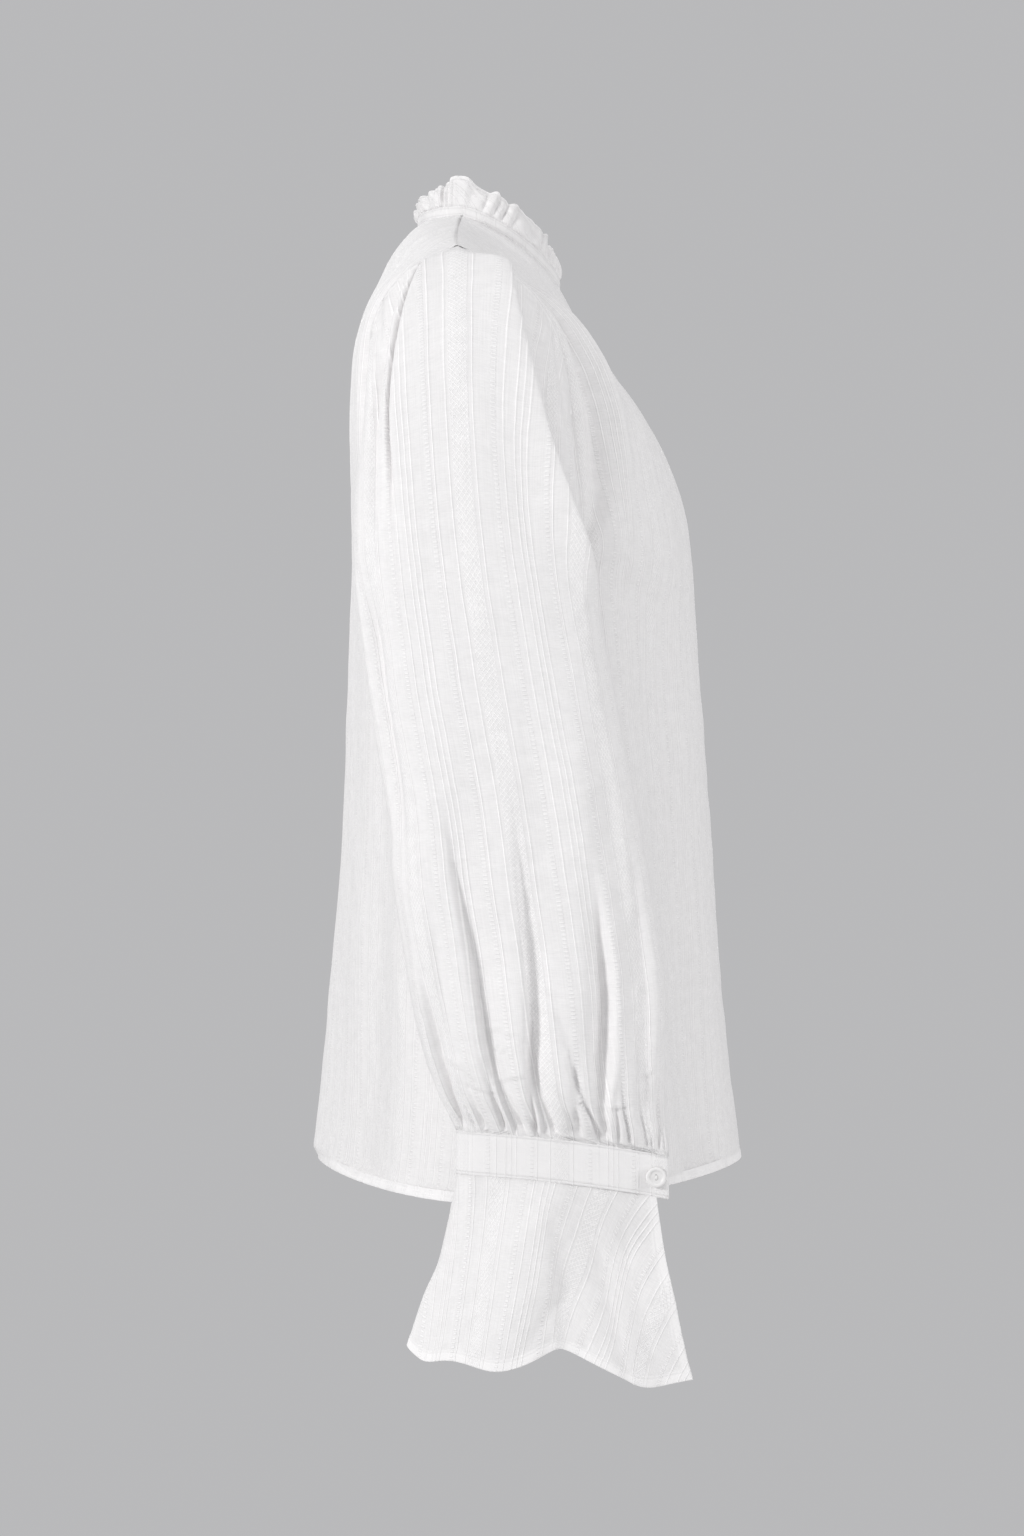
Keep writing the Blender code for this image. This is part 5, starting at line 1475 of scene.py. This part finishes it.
def set_camera():
    lens = bpy.data.cameras.new("view")
    lens.sensor_width = SENSOR
    lens.lens = SENSOR * PIXELS_PER_METRE_AT_1 / FRAME_LONG_SIDE
    lens.clip_start = 0.05
    lens.clip_end = 50.0
    camera = placed("view", lens)
    camera.location = CAMERA_AT
    camera.rotation_euler = (math.radians(90), 0.0, math.radians(-90))
    bpy.context.scene.camera = camera


def soft_light(name, place, target, size, power):
    lamp = bpy.data.lights.new(name, "AREA")
    lamp.shape = "DISK"
    lamp.size = size
    lamp.energy = power
    held = placed(name, lamp)
    held.location = place
    x, y, z = np.array(target) - np.array(place)
    held.rotation_euler = (math.atan2(math.hypot(x, y), -z), 0.0, math.atan2(-x, y))


def set_studio():
    world = bpy.data.worlds.new("studio")
    world.use_nodes = True
    backdrop = world.node_tree.nodes["Background"]
    backdrop.inputs[0].default_value = SURROUND
    backdrop.inputs[1].default_value = 1.0
    bpy.context.scene.world = world
    bpy.context.scene.view_settings.view_transform = "Standard"
    for light in LIGHTS:
        soft_light(*light)
    turn = np.linspace(0, 2 * math.pi, FLOOR_SIDES, endpoint=False)
    rim = [(FLOOR_RADIUS * math.cos(t), FLOOR_RADIUS * math.sin(t), FLOOR_DOWN) for t in turn]
    mesh = bpy.data.meshes.new("floor")
    mesh.from_pydata([(0.0, 0.0, FLOOR_DOWN)] + rim, [],
                     [(0, k + 1, (k + 1) % FLOOR_SIDES + 1) for k in range(FLOOR_SIDES)])
    painted = plain_finish("floor", 3.0, 3.0, 0.03, 0.72, (1.0, 1.0, 0.995), 0.8)
    mesh.materials.append(painted)
    floor = placed("floor", mesh)


# ------------------------------ putting it together
def dress(piece, finish, node):
    piece.data.materials.append(finish)
    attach(piece, "root")
    if node:
        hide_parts(node)


def button_thread(side, mirrored, centre, axis, first, second):
    """Four stitches through the button's holes, and the four threads of its shank."""
    lines = []
    for over in STITCHES:
        line = []
        for k in range(9):
            t = k / 8 * 2 - 1
            lift = BUTTON_THICKNESS * 0.62 + 0.0003 + 0.0004 * (1 - t * t)
            line.append(centre + first * over + second * STITCH_HALF * t + axis * lift)
        lines.append(line)
    for turn in range(4):
        a = turn * math.pi / 2 + 0.4
        spot = first * math.cos(a) * SHANK_RADIUS + second * math.sin(a) * SHANK_RADIUS
        lines.append([centre + spot - axis * BUTTON_STAND * 1.2, centre + spot * 0.9,
                      centre + spot + axis * 0.0002])
    return thread_mesh(f"button_thread_{side}", lines, mirrored)


def main():
    cloth = jacquard("shirting", 0.792, 0.912, 0.915)
    bands = jacquard("band_shirting", 0.790, 0.880, 0.845, contrast=0.75)
    button = pearl("button_pearl")
    white_thread = (3500.0, 2.0, 0.12, 0.86, (1.0, 0.998, 0.985), 0.55, (0.4, 0.0001))
    thread = plain_finish("sewing_thread", *white_thread)

    front = fine_panel("front_cloth", FRONT_ROWS, FRONT_FOLDS, SLIT_LENGTH)
    dress(front, cloth, "front")
    back = fine_panel("back_cloth", BACK_ROWS, BACK_FOLDS)
    dress(back, cloth, "back")
    neckband = fine_neckband("neckband_cloth")
    dress(neckband, bands, "neckband")
    ruffle = fine_ruffle("ruffle_cloth")
    dress(ruffle, cloth, "collar_ruffle")
    for side, mirrored, seed in (("left", False, 11), ("right", True, 12)):
        sleeve = fine_sleeve(f"sleeve_cloth_{side}", mirrored, seed)
        dress(sleeve, cloth, f"sleeve_{side}")
        cuff = fine_cuff(f"cuff_cloth_{side}", mirrored)
        dress(cuff, bands, f"cuff_{side}")
        flounce = fine_flounce(f"flounce_cloth_{side}", FLOUNCE_SWING[side], mirrored, seed)
        dress(flounce, cloth, f"cuff_flounce_{side}")
        made, *place = fine_button(f"button_{side}", mirrored)
        dress(made, button, f"cuff_button_{side}")
        sewn = button_thread(side, mirrored, *place)
        dress(sewn, thread, None)
    set_studio()
    set_camera()


main()
